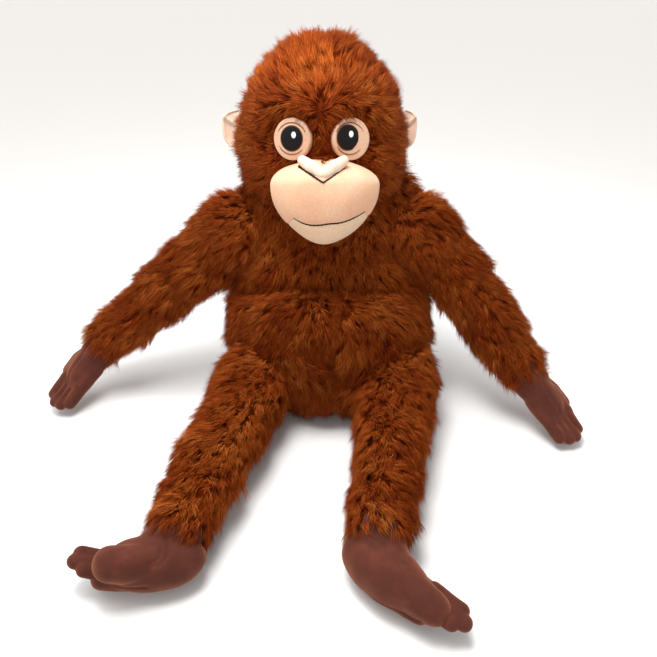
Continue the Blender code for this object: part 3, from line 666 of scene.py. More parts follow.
def limb_skin(name, path, radii, seed):
    """A stuffed sleeve along a path: a ball at its root, and a blunt cuff that is drawn in a little."""
    bm = bmesh.new()
    sides, rings = 28, []
    hint = Vector((0, 0, 1))
    last = len(path) - 1
    stations = [(-math.cos(a) * radii[0], math.sin(a), 0) for a in np.linspace(0.12, math.pi / 2, 8)[:-1]]
    stations += [(0, 1.0, count) for count in range(last + 1)]
    stations += [(0.004, 0.93, last), (0.006, 0.70, last), (0.0, 0.45, last)]
    for shift, size, count in stations:
        ahead = path[min(count + 1, last)] - path[max(count - 1, 0)]
        t = count / last
        radius = radii[0] + (radii[1] - radii[0]) * min(t * 2, 1) + (radii[2] - radii[1]) * max(t * 2 - 1, 0)
        place = frame_from(path[count] + ahead.normalized() * shift, ahead, hint)
        ring = []
        for side in range(sides):
            angle = 2 * math.pi * side / sides
            corner = place @ Vector((radius * size * math.cos(angle), radius * size * math.sin(angle), 0))
            corner.z = max(corner.z, FLOOR_GAP + SKIN_DEPTH * 0.4)
            ring.append(bm.verts.new(corner))
        rings.append(ring)
    close_tube(bm, rings)
    bmesh.ops.recalc_face_normals(bm, faces=bm.faces)
    mesh = mesh_from(bm, name)
    ripple(mesh, 34.0, 0.0045, seed)
    return link(name, mesh, "backing")


def make_limb(kind, side, sign, names, radii, seed, outwards):
    """An arm or a leg: its skin and fur, which bend at the elbow or the knee."""
    root, bend, end, upper, lower, nodes = names
    start, corner, finish = PIVOT[root], PIVOT[bend], PIVOT[end]
    path = bent_path(start, corner, finish)
    inner = [radius - SKIN_DEPTH for radius in radii]
    skin = limb_skin(f"{kind}_skin_{side}", path, inner, seed)
    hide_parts(*nodes)

    def settle(piece):
        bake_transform(piece)

    bones = np.array([list(point) for point in path])
    tangents = unit(np.gradient(bones, axis=0))

    def comb(spots):
        nearest = np.argmin(((spots[:, None, :] - bones[None, ::4, :]) ** 2).sum(axis=2), axis=1) * 4
        lay = tangents[nearest] * 0.9
        lay[:, 2] -= 0.35
        lay[:, 0] += sign * outwards
        return lay

    wrist = np.array(finish)
    ahead = tangents[-1]

    def allow(roots, middles, tips):
        face = (roots - wrist) @ ahead
        rim = np.linalg.norm(roots - wrist - face[:, None] * ahead, axis=1)
        return ((face < 0.005) | (rim > inner[2] * 0.62)) & (roots[:, 2] > 0.002)

    rng = np.random.default_rng(seed * 101)
    fur = grow(skin.data, TUFT_AREA, comb, rng, seed, lean=LIMB_LEAN, allow=allow, swirl=0.6)
    settle(skin)
    lay_fur(f"{kind}_fur_{side}", fur, settle, list(finish - start))


def make_limbs():
    for count, (side, sign) in enumerate(SIDES):
        arm_nodes = [f"{part}_{side}_{layer}" for part in ("upper_arm", "forearm") for layer in ("cover", "stuffing")]
        arm = (f"shoulder_swing_{side}", f"elbow_{side}", f"wrist_{side}", f"upper_arm_{side}", f"forearm_{side}",
               arm_nodes + [f"shoulder_wad_{side}"])
        make_limb("arm", side, sign, arm, ARM_RADII, 2 + count, 0.15)
        leg_nodes = [f"{part}_{side}_{layer}" for part in ("thigh", "shin") for layer in ("cover", "stuffing")]
        leg = (f"hip_lift_{side}", f"knee_{side}", f"ankle_{side}", f"thigh_{side}", f"shin_{side}",
               leg_nodes + [f"hip_wad_{side}"])
        make_limb("leg", side, sign, leg, LEG_RADII, 4 + count, 0.35)


# ---------------------------------------------------------------- head

def egg_forward(x, z):
    """How far forward the head's egg reaches at a place across and up."""
    wide, deep, tall = HEAD_RADII
    return -deep * math.sqrt(max(0.02, 1 - (x / wide) ** 2 - (z / tall) ** 2))


def eye_place(sign):
    """The eye's frame: +Z out of the face, +X to the toy's left, +Y up."""
    seat = Vector((sign * EYE_SPREAD, egg_forward(EYE_SPREAD, EYE_HEIGHT), EYE_HEIGHT))
    outward = Vector((sign * 0.30, -1.0, -0.10)).normalized()
    along = Vector((1, 0, 0))
    x_axis = (along - outward * outward.dot(along)).normalized()
    y_axis = outward.cross(x_axis)
    turn = Matrix((x_axis, y_axis, outward)).transposed().to_4x4()
    return HEAD @ Matrix.Translation(seat) @ turn


def head_skin():
    bm = bmesh.new()
    add_ball(bm, Matrix(), HEAD_RADII - Vector((SKIN_DEPTH,) * 3), 72, 48)
    mesh = mesh_from(bm, "head_skin")
    co, normals = points_of(mesh), normals_of(mesh)
    x, y, z = co.T
    front = np.clip(-y / 0.05, 0, 1)
    brow = np.exp(-((z - 0.022 + 4.0 * x ** 2) / 0.013) ** 2) * front
    dip = np.exp(-((z - 0.052) / 0.010) ** 2 - ((x - 0.004) / 0.03) ** 2) * front
    crown = np.exp(-((np.abs(x) - 0.022) / 0.014) ** 2) * np.clip(z / 0.09, 0, 1) ** 6
    cheek = np.exp(-((z + 0.045) / 0.025) ** 2) * np.clip(np.abs(x) / 0.06, 0, 1) ** 2 * front
    between = np.exp(-(x / 0.010) ** 2 - ((z + 0.018) / 0.022) ** 2) * front
    jowl = np.exp(-((z + 0.050) / 0.034) ** 2) * np.clip((np.abs(x) - 0.018) / 0.035, 0, 1) * (y < 0.06)
    lift = 0.0075 * brow - 0.006 * dip + 0.003 * crown + 0.002 * cheek - 0.001 * between + 0.008 * jowl
    co += normals * lift[:, None]
    move_points(mesh, co)
    mesh.transform(HEAD)
    ripple(mesh, 26.0, 0.003, 8)
    made = link("head_skin", mesh, "backing")
    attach(made, "head")
    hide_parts("head_cover", "head_stuffing")
    return made


FACE_CENTRE = Vector((0.002, -0.086, 0.004))     # the fur on the head lies away from here


def in_muzzle(place):
    """How far out points in the head's frame are from the muzzle's centre. It is 1 on its surface."""
    x, y, z = (place - np.array(MUZZLE_CENTRE)).T
    z = z - MUZZLE_LEVEL
    height = z / np.where(z < 0, *MUZZLE_TALL)
    return np.sqrt((x / MUZZLE_WIDE / muzzle_taper(height)) ** 2 + (y / MUZZLE_DEEP) ** 2 + height ** 2)


def make_head_fur(skin):
    rng = np.random.default_rng(21)
    into = HEAD.inverted()
    back = np.array(HEAD.to_3x3())
    eyes = [eye_place(sign).inverted() for _, sign in SIDES]

    def comb(spots):
        place = moved(spots, into)
        lay = unit(place - np.array(FACE_CENTRE))
        behind = np.clip(place[:, 1] / 0.05 + 0.4, 0, 1)
        lay += np.array((0.0, 0.1, -1.6)) * behind[:, None]
        low = np.clip(-(place[:, 2] + 0.02) / 0.05, 0, 1)
        lay += np.array((0.0, 0.0, -0.5)) * low[:, None]
        bridge = np.exp(-(place[:, 0] / 0.012) ** 2 - ((place[:, 2] + 0.020) / 0.018) ** 2) * (place[:, 1] < 0)
        lay += np.array((0, 0, -1.5)) * bridge[:, None]
        brow = np.exp(-((place[:, 2] - 0.012) / 0.011) ** 2 - ((np.abs(place[:, 0]) - 0.030) / 0.024) ** 2)
        over_eye = brow * (place[:, 1] < 0)
        lay[:, 0] += 0.9 * np.sign(place[:, 0]) * over_eye
        lay[:, 2] -= 3.0 * over_eye
        return lay @ back.T

    def trim(spots):
        place = moved(spots, into)
        share = np.ones(len(spots))
        for eye in eyes:
            seen = moved(spots, eye)
            far = np.hypot(seen[:, 0], seen[:, 1])
            share = np.minimum(share, np.where(seen[:, 2] > -0.04, np.clip((far - 0.012) / 0.020, 0.48, 1), 1))
        return np.minimum(share, np.clip((in_muzzle(place) - 0.60) / 0.7, 0.45, 1))

    def allow(roots, middles, tips):
        keep = np.ones(len(roots), bool)
        for points, slack, overlap in ((roots, 0.96, (0.96, 0.96)), (middles, 1.0, (0.82, 0.90)),
                                       (tips, 1.02, (0.66, 0.82))):
            place = moved(points, into)
            keep &= in_muzzle(place) > slack
            nose = (place - np.array(NOSE_CENTRE) - (0, 0, 0.002)) / np.array((0.023, 0.020, 0.0085))
            keep &= np.linalg.norm(nose, axis=1) > 1
            for eye in eyes:
                seen = moved(points, eye)
                room = PATCH_RADIUS * np.where(seen[:, 1] > 0.003, overlap[0], overlap[1])
                keep &= ~((np.hypot(seen[:, 0], seen[:, 1]) < room) & (seen[:, 2] > -0.03))
        return keep

    fur = grow(skin.data, TUFT_AREA, comb, rng, 6, length=0.0185, allow=allow, trim=trim)
    lay_fur("head_fur", fur, riding("head"), (0, 1, 0.3))


def make_neck():
    bm = bmesh.new()
    add_ball(bm, Matrix.Translation(PIVOT["neck_nod"]), (0.040, 0.040, 0.040))
    mesh = soft_mesh("neck_skin", bm, 0.004)
    made = link("neck_skin", mesh, "backing")
    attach(made, "neck")
    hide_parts("neck_stuffing")


MUZZLE_WIDE = 0.0535
MUZZLE_DEEP = 0.0440
MUZZLE_TALL = (0.0585, 0.0250)      # below and above its widest level
MUZZLE_LEVEL = 0.0140               # the widest level over the muzzle's centre
MOUTH_ENDS = (-0.0300, 0.0385)
MOUTH_LOW = -0.0232                 # the lowest point of the mouth line, and its place across
MOUTH_LOW_AT = -0.0100


def muzzle_taper(height):
    """How much narrower the muzzle is than a ball, by the height as a share of its reach."""
    return 1 - 0.22 * np.clip(-height, 0, 1) ** 2 - 0.05 * np.clip(height, 0, 1) ** 2


def muzzle_form():
    """The muzzle's round form in its own frame, as a mesh and its points."""
    bm = bmesh.new()
    add_ball(bm, Matrix(), (1, 1, 1), 112, 72)
    mesh = mesh_from(bm, "muzzle_form")
    x, y, z = points_of(mesh).T
    tall = np.where(z < 0, *MUZZLE_TALL)
    co = np.stack([x * muzzle_taper(z) * MUZZLE_WIDE, y * MUZZLE_DEEP, z * tall + MUZZLE_LEVEL], axis=1)
    return mesh, co


def mouth_height(x):
    """Height of the mouth line in the muzzle's frame by the place across. It drops again past its ends."""
    inside = np.clip(x, *MOUTH_ENDS)
    past_low = inside - MOUTH_LOW_AT
    rise = np.where(past_low < 0, 0.0068 * (past_low / 0.020) ** 2,
                    0.0125 * (np.maximum(past_low, 0) / 0.0485) ** 2.4)
    arch = 0.0009 * np.exp(-((inside - 0.004) / 0.007) ** 2)
    return MOUTH_LOW + rise + arch - 0.9 * np.abs(x - inside)


def make_muzzle():
    """The muzzle and the chin, which meet along the mouth."""
    placed = HEAD @ Matrix.Translation(MUZZLE_CENTRE)
    made = []
    for name, above, look, node in (("muzzle_pad", True, "cream", "muzzle"), ("chin_pad", False, "chin", "chin")):
        mesh, co = muzzle_form()
        move_points(mesh, co)
        normals = normals_of(mesh)
        line = mouth_height(co[:, 0])
        past = (line - co[:, 2]) if above else (co[:, 2] - line)
        smile = np.clip((MOUTH_ENDS[1] + 0.006 - np.abs(co[:, 0] - 0.004)) / 0.010, 0.25, 1)
        tuck = 0.0026 * np.clip(past / 0.0045 + 0.15, 0, 1) ** 1.4
        tuck += 0.0012 * np.exp(-(np.abs(past) / 0.0025) ** 2) * smile
        if above:
            tuck += 0.0008 * np.exp(-((co[:, 0] - 0.001) / 0.0030) ** 2) * np.clip((co[:, 2] - 0.004) / 0.01, 0, 1)
            tuck -= 0.0016 * np.exp(-((np.abs(co[:, 0]) - 0.022) / 0.016) ** 2 - ((co[:, 2] - 0.004) / 0.016) ** 2)
        else:
            tuck += 0.0007
        move_points(mesh, co - normals * tuck[:, None])
        ripple(mesh, 40.0, 0.0010, 9)
        mesh.transform(placed)
        mesh.name = name
        piece = link(name, mesh, look)
        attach(piece, "head")
        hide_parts(node)
        made.append(piece)
    return made


def on_face(tree, x, z, lift):
    """The point on the face at a place across and up in the head's frame, lifted off it."""
    start = HEAD @ Vector((x, -0.2, z))
    hit, normal, _, _ = tree.ray_cast(start, HEAD.to_3x3() @ Vector((0, 1, 0)))
    return hit + normal * lift


def make_face():
    muzzle, chin = make_muzzle()
    tree = surface_tree(muzzle.data, chin.data)
    mouth = []
    for x in np.linspace(*MOUTH_ENDS, 61):
        mouth.append(on_face(tree, x + MUZZLE_CENTRE.x, float(mouth_height(x)) + MUZZLE_CENTRE.z, 0.0002))
    thread("mouth_thread", mouth, 0.00085, "thread", "head", "mouth_line", ends=0.4)
    make_nose(muzzle)
    make_bridge_fur(muzzle)
    for side, sign in SIDES:
        make_eye(side, sign)


def make_bridge_fur(muzzle):
    """The tongue of fur that comes down between the lobes of the nose."""
    into = HEAD.inverted()
    down = np.array(HEAD.to_3x3() @ Vector((0, -0.2, -1)))

    def allow(roots, middles, tips):
        keep = np.ones(len(roots), bool)
        for points, edge in ((roots, 0.0035), (tips, -0.0010)):
            x, _, z = (moved(points, into) - np.array(NOSE_CENTRE)).T
            keep &= (np.abs(x) < 0.0185) & (z > edge + 0.0110 * np.abs(x) / 0.0195) & (z < 0.016)
        return keep

    def comb(spots):
        return np.tile(down, (len(spots), 1))

    fur = grow(muzzle.data, TUFT_AREA * 0.6, comb, np.random.default_rng(31), 7, length=0.0075, lean=(40, 80),
               allow=allow, swirl=0.4)
    lay_fur("bridge_fur", fur, riding("head"), (1, 0, 0))


def make_nose(muzzle):
    """Two leaf-like lobes that slant down to a point, with the nostril line under them."""
    middle = HEAD @ Matrix.Translation(NOSE_CENTRE)
    across = HEAD.to_3x3() @ Vector((0, 1, 0.35))
    bm = bmesh.new()
    for sign in (1, -1):
        outer = middle @ Vector((sign * 0.0195, -0.0050, 0.0062))
        belly = middle @ Vector((sign * 0.0110, -0.0100, 0.0004))
        inner = middle @ Vector((sign * 0.0030, -0.0125, -0.0062))
        add_capsule(bm, outer, belly, (0.0048, 0.0066), 0.85, across)
        add_capsule(bm, belly, inner, (0.0066, 0.0060), 0.85, across)
    add_capsule(bm, middle @ Vector((0, -0.0115, -0.0070)), middle @ Vector((0, -0.0125, -0.0120)), (0.0050, 0.0026),
                0.85, across)
    mesh = soft_mesh("nose_pad", bm, 0.0009, 4)
    ripple(mesh, 90.0, 0.0005, 12)
    made = link("nose_pad", mesh, "pale")
    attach(made, "head")
    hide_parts("nose")
    tree = surface_tree(muzzle.data, made.data)
    line = []
    for x in np.linspace(-0.0225, 0.0205, 45):
        height = -0.0138 + 0.0140 * (abs(x) / 0.0215) ** 1.05
        line.append(on_face(tree, x + NOSE_CENTRE.x, height + NOSE_CENTRE.z, 0.0003))
    thread("nostril_thread", line, lambda t: 0.0015 - 0.0010 * t ** 0.7, "thread", "head", "nostril_line")


def dome(name, place, radius, rise, base, look, node, squash, rim=0.0):
    """A round pad with a domed top and a rolled rim."""
    profile = [(0.0, rise)]
    for step in range(1, 15):
        share = step / 14
        profile.append((radius * share, rise * (1 - share ** 2.4) + rim * math.exp(-((share - 0.93) / 0.05) ** 2)))
    profile += [(radius * 1.01, -abs(base) * 0.25), (radius * 0.97, base), (0.0, base)]
    bm = bmesh.new()
    sides, rings = 56, []
    for far, height in profile:
        if far == 0.0:
            rings.append([bm.verts.new((0, 0, height))])
            continue
        rings.append([bm.verts.new((far * squash[0] * math.cos(2 * math.pi * k / sides),
                                    far * squash[1] * math.sin(2 * math.pi * k / sides), height))
                      for k in range(sides)])
    for first, second in zip(rings, rings[1:]):
        for k in range(sides):
            after = (k + 1) % sides
            if len(first) == 1:
                bm.faces.new((first[0], second[k], second[after]))
            elif len(second) == 1:
                bm.faces.new((first[k], second[0], first[after]))
            else:
                bm.faces.new((first[k], second[k], second[after], first[after]))
    bmesh.ops.recalc_face_normals(bm, faces=bm.faces)
    mesh = mesh_from(bm, name)
    mesh.transform(place)
    made = link(name, mesh, look)
    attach(made, "head")
    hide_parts(node)
    return made


def make_eye(side, sign):
    place = eye_place(sign) @ Matrix.Translation((0, 0, -0.0012))
    rise = 0.0022
    # The patch takes the darker eye cream, which is painted shade under the brow.
    patch = dome(f"eye_pad_{side}", place, PATCH_RADIUS, rise, -0.012, "eyecream", f"eye_patch_{side}",
                 (0.97, 1.03), 0.0004)
    on = place @ Matrix.Translation((*GAZE[side], rise - 0.0004))
    dome(f"iris_pad_{side}", on, IRIS_RADIUS, 0.0008, -0.0018, "iris", f"iris_{side}", (0.98, 1.04))
    on = on @ Matrix.Translation((0, 0.0002, 0.0005))
    dome(f"pupil_pad_{side}", on, PUPIL_RADIUS, 0.0010, -0.0014, "pupil", f"pupil_{side}", (0.98, 1.04))
    glint = on @ Matrix.Translation((0.0026, 0.0030, 0.0010))
    dome(f"glint_pad_{side}", glint, GLINT_RADIUS, 0.0004, -0.0008, "glint", f"glint_{side}", (0.85, 1.15))
    for name, low, high, far in (("lid", 25, 155, 0.0150), ("lash", 205, 320, 0.0140)):
        arc = []
        for angle in np.linspace(math.radians(low), math.radians(high), 31):
            share = far / PATCH_RADIUS
            x = far * math.cos(angle) + GAZE[side][0] * 0.5
            arc.append(place @ Vector((x, far * math.sin(angle), rise * (1 - share ** 2.4) + 0.0003)))
        thread(f"eye_{name}_{side}", arc, 0.00042, "soft_thread", "head", ends=0.25)


EAR_WIDTH = {"l": 0.0115, "r": 0.0178}


def make_ear(side, sign):
    """A folded leaf of velour that stands off the side of the head."""
    pivot = PIVOT[f"ear_fold_{side}"]
    place = HEAD.copy()
    place.translation = pivot
    rows, columns = 30, 20
    bm = bmesh.new()
    fronts, backs = [], []
    for row in range(rows + 1):
        v = -1 + 2 * row / rows
        front, back = [], []
        for column in range(columns + 1):
            u = column / columns
            full = max(0.03, 1 - abs(v) ** 3.6) ** 0.5 * (1 + 0.10 * v)
            x = -0.004 + (EAR_WIDTH[side] + 0.004) * full * u
            z = 0.0200 * v + 0.0020 * u
            cup = 0.0042 * math.sin(math.pi * min(1, u * 1.05)) * (1 - v * v)
            fold = 0.0026 * math.exp(-((v - 0.15 - 0.55 * u) / 0.13) ** 2) * min(1, u * 1.6)
            rim = 0.0018 * math.exp(-((u - 0.93) / 0.10) ** 2)
            thick = 0.0030 * (1 - u ** 6) * (1 - abs(v) ** 6) + 0.0004
            y = 0.001 + cup - fold - rim
            front.append(bm.verts.new((sign * x, y - thick, z)))
            back.append(bm.verts.new((sign * x, y + thick, z)))
        fronts.append(front)
        backs.append(back)
    for row in range(rows):
        for column in range(columns):
            for grid in (fronts, backs):
                bm.faces.new((grid[row][column], grid[row][column + 1], grid[row + 1][column + 1],
                              grid[row + 1][column]))
    for row in range(rows):
        for column in (0, columns):
            bm.faces.new((fronts[row][column], fronts[row + 1][column], backs[row + 1][column],
                          backs[row][column]))
    for column in range(columns):
        for row in (0, rows):
            bm.faces.new((fronts[row][column], fronts[row][column + 1], backs[row][column + 1],
                          backs[row][column]))
    bmesh.ops.recalc_face_normals(bm, faces=bm.faces)
    mesh = mesh_from(bm, f"ear_pad_{side}")
    mesh.transform(place)
    made = link(f"ear_pad_{side}", mesh, "ear")
    step = made.modifiers.new("finer", "SUBSURF")
    step.levels = step.render_levels = 1
    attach(made, f"ear_{side}")
    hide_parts(f"ear_cover_{side}")


# ---------------------------------------------------------------- hands and feet

def hand_frame(side):
    """The hand's frame at the wrist: +Z along the hand, +Y out of the palm, +X towards the thumb."""
    wrist, knuckle = PIVOT[f"wrist_{side}"], PIVOT[f"finger_curl_{side}"]
    along = (knuckle - wrist).normalized()
    hint = Vector((0, 0.25, -1))
    palm = (hint - along * along.dot(hint)).normalized()
    return frame_from(wrist, along, palm.cross(along))


PATCH_LIFT = 0.0007     # how far a gripping patch's face stands off the velour


def pad_piece(name, bm, voxel, body, nodes, seed, seams=(), smoothing=5):
    """A stuffed form in velour, with seams pressed in along the paths nearest to them on its surface."""
    mesh = soft_mesh(name, bm, voxel, smoothing)
    ripple(mesh, 55.0, 0.0012, seed)
    skin = surface_tree(mesh)
    for path in seams:
        press_seam(mesh, [skin.find_nearest(point)[0] for point in path], 0.0016, 0.0013)
    made = link(name, mesh, "velour")
    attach(made, body)
    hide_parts(*nodes)
    return made


HAND_ROWS = (-0.0120, -0.0040, 0.0040, 0.0120)      # places of the fingers across the hand
FINGER_LENGTHS = (0.020, 0.025, 0.024, 0.018)


def make_hand(side, seed):
    place = hand_frame(side)
    thumb_sign = -1 if side == "l" else 1
    knuckle = (PIVOT[f"finger_curl_{side}"] - PIVOT[f"wrist_{side}"]).length
    across = Vector(place.to_3x3() @ Vector((1, 0, 0)))

    def at(x, y, z):
        return place @ Vector((x, y, z))

    square = place.to_3x3() @ Vector((0, 1, 0))
    bm = bmesh.new()
    add_capsule(bm, at(0, 0, -0.006), at(0, 0, 0.018), (0.0225, 0.0205), 1.0, across)
    add_capsule(bm, at(0, 0, 0.010), at(0, 0, 0.048), (0.0205, 0.0165), 0.94, square)
    for x in HAND_ROWS:
        add_capsule(bm, at(x * 0.7, 0, 0.036), at(x, 0, knuckle - 0.001), (0.0125, 0.0086), 1.0, across)
    add_capsule(bm, at(thumb_sign * 0.007, 0.003, 0.014), at(thumb_sign * 0.0185, 0.005, 0.036), (0.0130, 0.0100),
                1.0, across)
    add_capsule(bm, at(thumb_sign * 0.0180, 0.005, 0.034), at(thumb_sign * 0.0220, 0.006, 0.053),
                (0.0098, 0.0076), 1.0, across)
    back = [at(0.002, -0.021 + 0.12 * z, z) for z in np.linspace(0.0, 0.062, 7)]
    pad = pad_piece(f"hand_pad_{side}", bm, 0.0016, f"hand_{side}", [f"hand_cover_{side}", f"thumb_{side}"],
                    seed, [back], 6)
    bm = bmesh.new()
    stitches = []
    for count, length in enumerate(FINGER_LENGTHS):
        x = thumb_sign * HAND_ROWS[3 - count]
        add_capsule(bm, at(x * 0.97, 0, knuckle - 0.003), at(x * 1.05, 0.001, knuckle + length), (0.0082, 0.0068),
                    1.0, across)
        if count:
            edge = thumb_sign * (HAND_ROWS[3 - count] + HAND_ROWS[4 - count]) / 2
            stitches.append([at(edge, -0.009, knuckle + reach) for reach in (-0.004, 0.006, 0.016)])
    pad_piece(f"fingers_pad_{side}", bm, 0.0011, f"fingers_{side}", [f"fingers_{side}_cover"], seed + 2,
              stitches, 3)
    gripping_patch(f"palm_patch_{side}", f"palm_pad_{side}", f"hand_{side}", pad,
                   place @ Matrix.Translation((0, 0, 0.040)), (0.0130, 0.0135))


def gripping_patch(name, node, body, pad, middle, half):
    """A patch of woven cloth with rounded corners, glued down onto the palm or the sole of a pad."""
    tree = surface_tree(pad.data)
    inwards = middle.to_3x3() @ Vector((0, -1, 0))
    rings, sides, layers = 9, 40, []
    bm = bmesh.new()
    for lift in (PATCH_LIFT, -PATCH_LIFT):
        grid = []
        for ring in range(1, rings + 1):
            row = []
            for side in range(sides):
                angle = 2 * math.pi * side / sides
                cos, sin = math.cos(angle), math.sin(angle)
                x = half[0] * ring / rings * math.copysign(abs(cos) ** 0.55, cos)
                z = half[1] * ring / rings * math.copysign(abs(sin) ** 0.55, sin)
                hit, normal, _, _ = tree.ray_cast(middle @ Vector((x, 0.06, z)), inwards)
                sink = -0.4 * PATCH_LIFT if ring == rings and lift > 0 else lift
                row.append(bm.verts.new(hit + normal * sink))
            grid.append(row)
        hit, normal, _, _ = tree.ray_cast(middle @ Vector((0, 0.06, 0)), inwards)
        centre = bm.verts.new(hit + normal * lift)
        for side in range(sides):
            after = (side + 1) % sides
            bm.faces.new((centre, grid[0][side], grid[0][after]))
            for inner, outer in zip(grid, grid[1:]):
                bm.faces.new((inner[side], outer[side], outer[after], inner[after]))
        layers.append(grid[-1])
    join_rings(bm, *layers)
    bmesh.ops.recalc_face_normals(bm, faces=bm.faces)
    mesh = mesh_from(bm, name)
    made = link(name, mesh, "patch")
    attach(made, body)
    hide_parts(node)


# Across away from the leg, down and along from the foot's middle
FOOT_SHAPES = {
    "r": {"big": ((0.0060, -0.0080, 0.0020), (0.0100, -0.0150, 0.0250)), "big_radii": (0.0160, 0.0152),
          "big_flat": 1.0, "folds": ((0.0175, -0.021), (0.0220, -0.020)),
          "toes": ((0.0035, -0.0030, 0.050), (-0.0035, -0.0060, 0.058), (-0.0110, -0.0060, 0.055)),
          "toe_radius": 0.0068},
    "l": {"big": ((0.0020, -0.0040, 0.0060), (0.0010, 0.0000, 0.0440)), "big_radii": (0.0185, 0.0142),
          "big_flat": 0.9, "folds": (),
          "toes": ((-0.0010, 0.0040, 0.060), (-0.0085, 0.0055, 0.067), (-0.0155, 0.0050, 0.060)),
          "toe_radius": 0.0070},
}
FOOT_AIM = {"l": (0.118, -0.336), "r": (-0.214, -0.274)}       # where the foot points, across and forwards
FOOT_MIDDLE = 0.017     # along the foot from the ankle, as the next one
TOE_ROOTS = 0.0550
TOE_BASES = (-0.0125, -0.0020, 0.0070)




def make_foot(side, seed):
    ankle = PIVOT[f"ankle_{side}"]
    tip = Vector((*FOOT_AIM[side], ankle.z))
    along = tip - ankle
    place = frame_from(ankle, along, Vector((0, 0, -1)).cross(along))
    leg = (ankle - PIVOT[f"knee_{side}"]).normalized()
    leg_side = place.to_3x3().transposed() @ leg
    outward = 1.0 if leg_side.x > 0 else -1.0
    shift = (outward * 0.027 * abs(leg_side.x), 0.0085, FOOT_MIDDLE + 0.027 * leg_side.z)
    middle = place @ Matrix.Translation(shift)

    def at(x, y, z):
        return middle @ Vector((outward * x, y, z))

    across = Vector(middle.to_3x3() @ Vector((1, 0, 0)))
    shape = FOOT_SHAPES[side]
    bm = bmesh.new()
    add_ball(bm, middle @ Matrix.Translation((0, 0.001, -0.004)), (0.0235, 0.0230, 0.0450))
    add_capsule(bm, ankle, middle.translation, (0.0225, 0.0200), 1.0, across)
    line = TOE_ROOTS - FOOT_MIDDLE
    for x in TOE_BASES:
        add_capsule(bm, at(x * 0.8, 0.008, 0.010), at(x, 0.007, line - 0.001), (0.0135, 0.0092), 1.0, across)
    root, crown = Vector(shape["big"][0]), Vector(shape["big"][1])
    add_capsule(bm, at(*root), at(*crown), shape["big_radii"], shape["big_flat"],
                middle.to_3x3() @ Vector((0, 1, 0)))
    creases = [[at(-0.004, -0.024, z) for z in np.linspace(-0.040, -0.010, 5)]]
    for far, depth in shape["folds"]:
        arc = []
        for angle in np.linspace(math.radians(215), math.radians(325), 9):
            arc.append(at(root.x + far * math.cos(angle), depth, root.z + far * math.sin(angle)))
        creases.append(arc)
    creases.append([at(root.x + 0.9 * shape["big_radii"][0], root.y + 0.010, z)
                    for z in np.linspace(root.z - 0.004, crown.z, 7)])
    pad = pad_piece(f"foot_pad_{side}", bm, 0.0016, f"foot_{side}", [f"foot_cover_{side}", f"big_toe_{side}"],
                    seed, creases)
    bm = bmesh.new()
    for x, y, z in shape["toes"]:
        radii = (shape["toe_radius"] + 0.001, shape["toe_radius"])
        add_capsule(bm, at(x * 0.9, 0.004, line - 0.004), at(x, y, z), radii, 1.0, across)
    pad_piece(f"toes_pad_{side}", bm, 0.0012, f"toes_{side}", [f"toes_{side}_cover"], seed + 2, smoothing=3)
    gripping_patch(f"sole_patch_{side}", f"sole_pad_{side}", f"foot_{side}", pad, middle, (0.0120, 0.0180))


# ---------------------------------------------------------------- care label

def make_label():
    """A blank care label: a strip of satin folded double, sewn into the side seam at the hip."""
    low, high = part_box("care_label")
    middle = (low + high) / 2
    turn = Matrix.Rotation(math.radians(35), 4, "Z")
    width, fall, gap, thick = 0.022, 0.012, 0.0012, 0.0003
    profile = [(x, gap / 2) for x in np.linspace(-fall, fall - gap / 2, 8)]
    profile += [(fall - gap / 2 + gap / 2 * math.sin(a), gap / 2 * math.cos(a)) for a in np.linspace(0.4, 2.74, 5)]
    profile += [(x, -gap / 2) for x in np.linspace(fall - gap / 2, -fall, 8)]
    bm = bmesh.new()
    rows = []
    for x, y in profile:
        rows.append([bm.verts.new((x, y, z)) for z in np.linspace(-width / 2, width / 2, 9)])
    for first, second in zip(rows, rows[1:]):
        for a, b, c, d in zip(first, first[1:], second[1:], second):
            bm.faces.new((a, b, c, d))
    mesh = mesh_from(bm, "care_label_strip")
    mesh.transform(Matrix.Translation(middle) @ turn)
    made = link("care_label_strip", mesh, "label")
    shell = made.modifiers.new("thickness", "SOLIDIFY")
    shell.thickness = thick
    shell.offset = 0
    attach(made, "torso")
    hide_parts("care_label")


# ---------------------------------------------------------------- stage

FLOOR_REACH = 60.0
FLOOR_NEAR = (236, 235, 233)
# The floor goes from FLOOR_NEAR to this darker colour away from the middle: painted shade where less light reaches
# the far floor.
FLOOR_FAR_SHADE = (229, 225, 221)
HORIZON = (233, 231, 228)
ZENITH = (176, 180, 184)
# Name, direction, angle of its disc in degrees, and power
SUNS = (
    ("skylight", (0.30, -0.22, -1.0), 50, 1.75),
    ("window", (0.5, 0.75, -0.8), 60, 0.25),
)
OVERHEAD_PLACE = (-0.10, -0.14, 0.98)


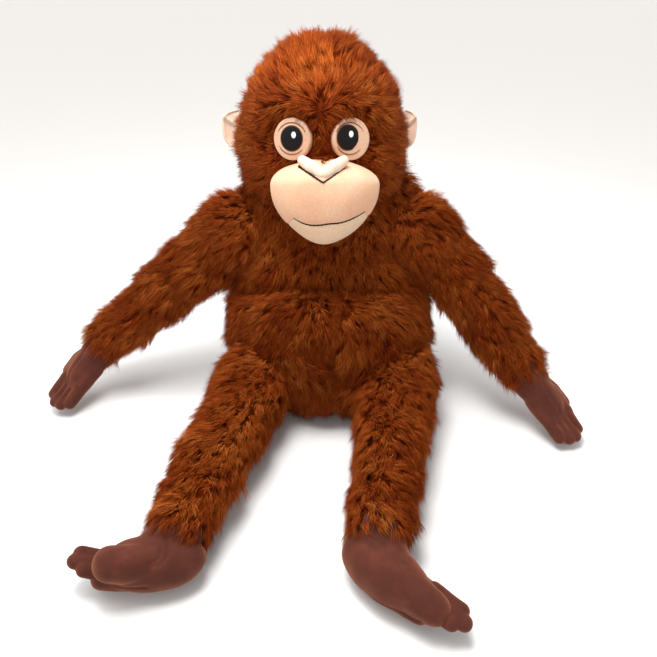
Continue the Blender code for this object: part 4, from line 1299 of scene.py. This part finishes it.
def make_stage():
    bm = bmesh.new()
    bmesh.ops.create_grid(bm, x_segments=1, y_segments=1, size=FLOOR_REACH)
    mesh = mesh_from(bm, "floor")
    floor = bpy.data.objects.new("floor", mesh)
    bpy.context.scene.collection.objects.link(floor)
    look = plain("floor", FLOOR_NEAR, 0.55, specular=0.25)
    tree = look.node_tree
    reach = tree.nodes.new("ShaderNodeVectorMath")
    reach.operation = "LENGTH"
    tree.links.new(tree.nodes.new("ShaderNodeTexCoord").outputs["Object"], reach.inputs[0])
    # Darker with distance from the middle: painted shade for the light falling off over the floor.
    painted_falloff = ramp_node(tree, reach.outputs["Value"], ((0.50, FLOOR_NEAR), (1.0, FLOOR_FAR_SHADE)))
    tree.links.new(painted_falloff, tree.nodes["Principled BSDF"].inputs["Base Color"])
    mesh.materials.append(look)
    world = bpy.data.worlds.new("studio")
    bpy.context.scene.world = world
    world.use_nodes = True
    tree = world.node_tree
    split = tree.nodes.new("ShaderNodeSeparateXYZ")
    tree.links.new(tree.nodes.new("ShaderNodeTexCoord").outputs["Generated"], split.inputs["Vector"])
    sky = ramp_node(tree, split.outputs["Z"], ((0.0, HORIZON), (0.45, HORIZON), (0.8, ZENITH)))
    tree.links.new(sky, tree.nodes["Background"].inputs["Color"])
    tree.nodes["Background"].inputs["Strength"].default_value = 1.0
    for name, towards, angle, power in SUNS:
        light = bpy.data.lights.new(name, "SUN")
        light.angle = math.radians(angle)
        light.energy = power
        lamp = bpy.data.objects.new(name, light)
        bpy.context.scene.collection.objects.link(lamp)
        lamp.location = Vector(towards) * -2
        lamp.rotation_euler = Vector(towards).to_track_quat("-Z", "Y").to_euler()
    light = bpy.data.lights.new("overhead", "AREA")
    light.size = 0.4
    light.energy = 8.0
    lamp = bpy.data.objects.new("overhead", light)
    bpy.context.scene.collection.objects.link(lamp)
    lamp.location = OVERHEAD_PLACE
    bpy.context.scene.view_settings.view_transform = "Standard"


def make_camera():
    camera = bpy.data.cameras.new("camera")
    camera.sensor_width = CAMERA_WIDTH
    camera.lens = CAMERA_LENS
    holder = bpy.data.objects.new("camera", camera)
    bpy.context.scene.collection.objects.link(holder)
    holder.location = CAMERA_PLACE
    holder.rotation_euler = (math.radians(90 - CAMERA_DIP), 0, 0)
    bpy.context.scene.camera = holder


make_camera()
make_stage()
make_torso()
make_limbs()
make_neck()
make_head_fur(head_skin())
make_face()
for ear_side, ear_sign in SIDES:
    make_ear(ear_side, ear_sign)
for number, (hand_side, _) in enumerate(SIDES):
    make_hand(hand_side, 20 + 10 * number)
    make_foot(hand_side, 40 + 10 * number)
make_label()
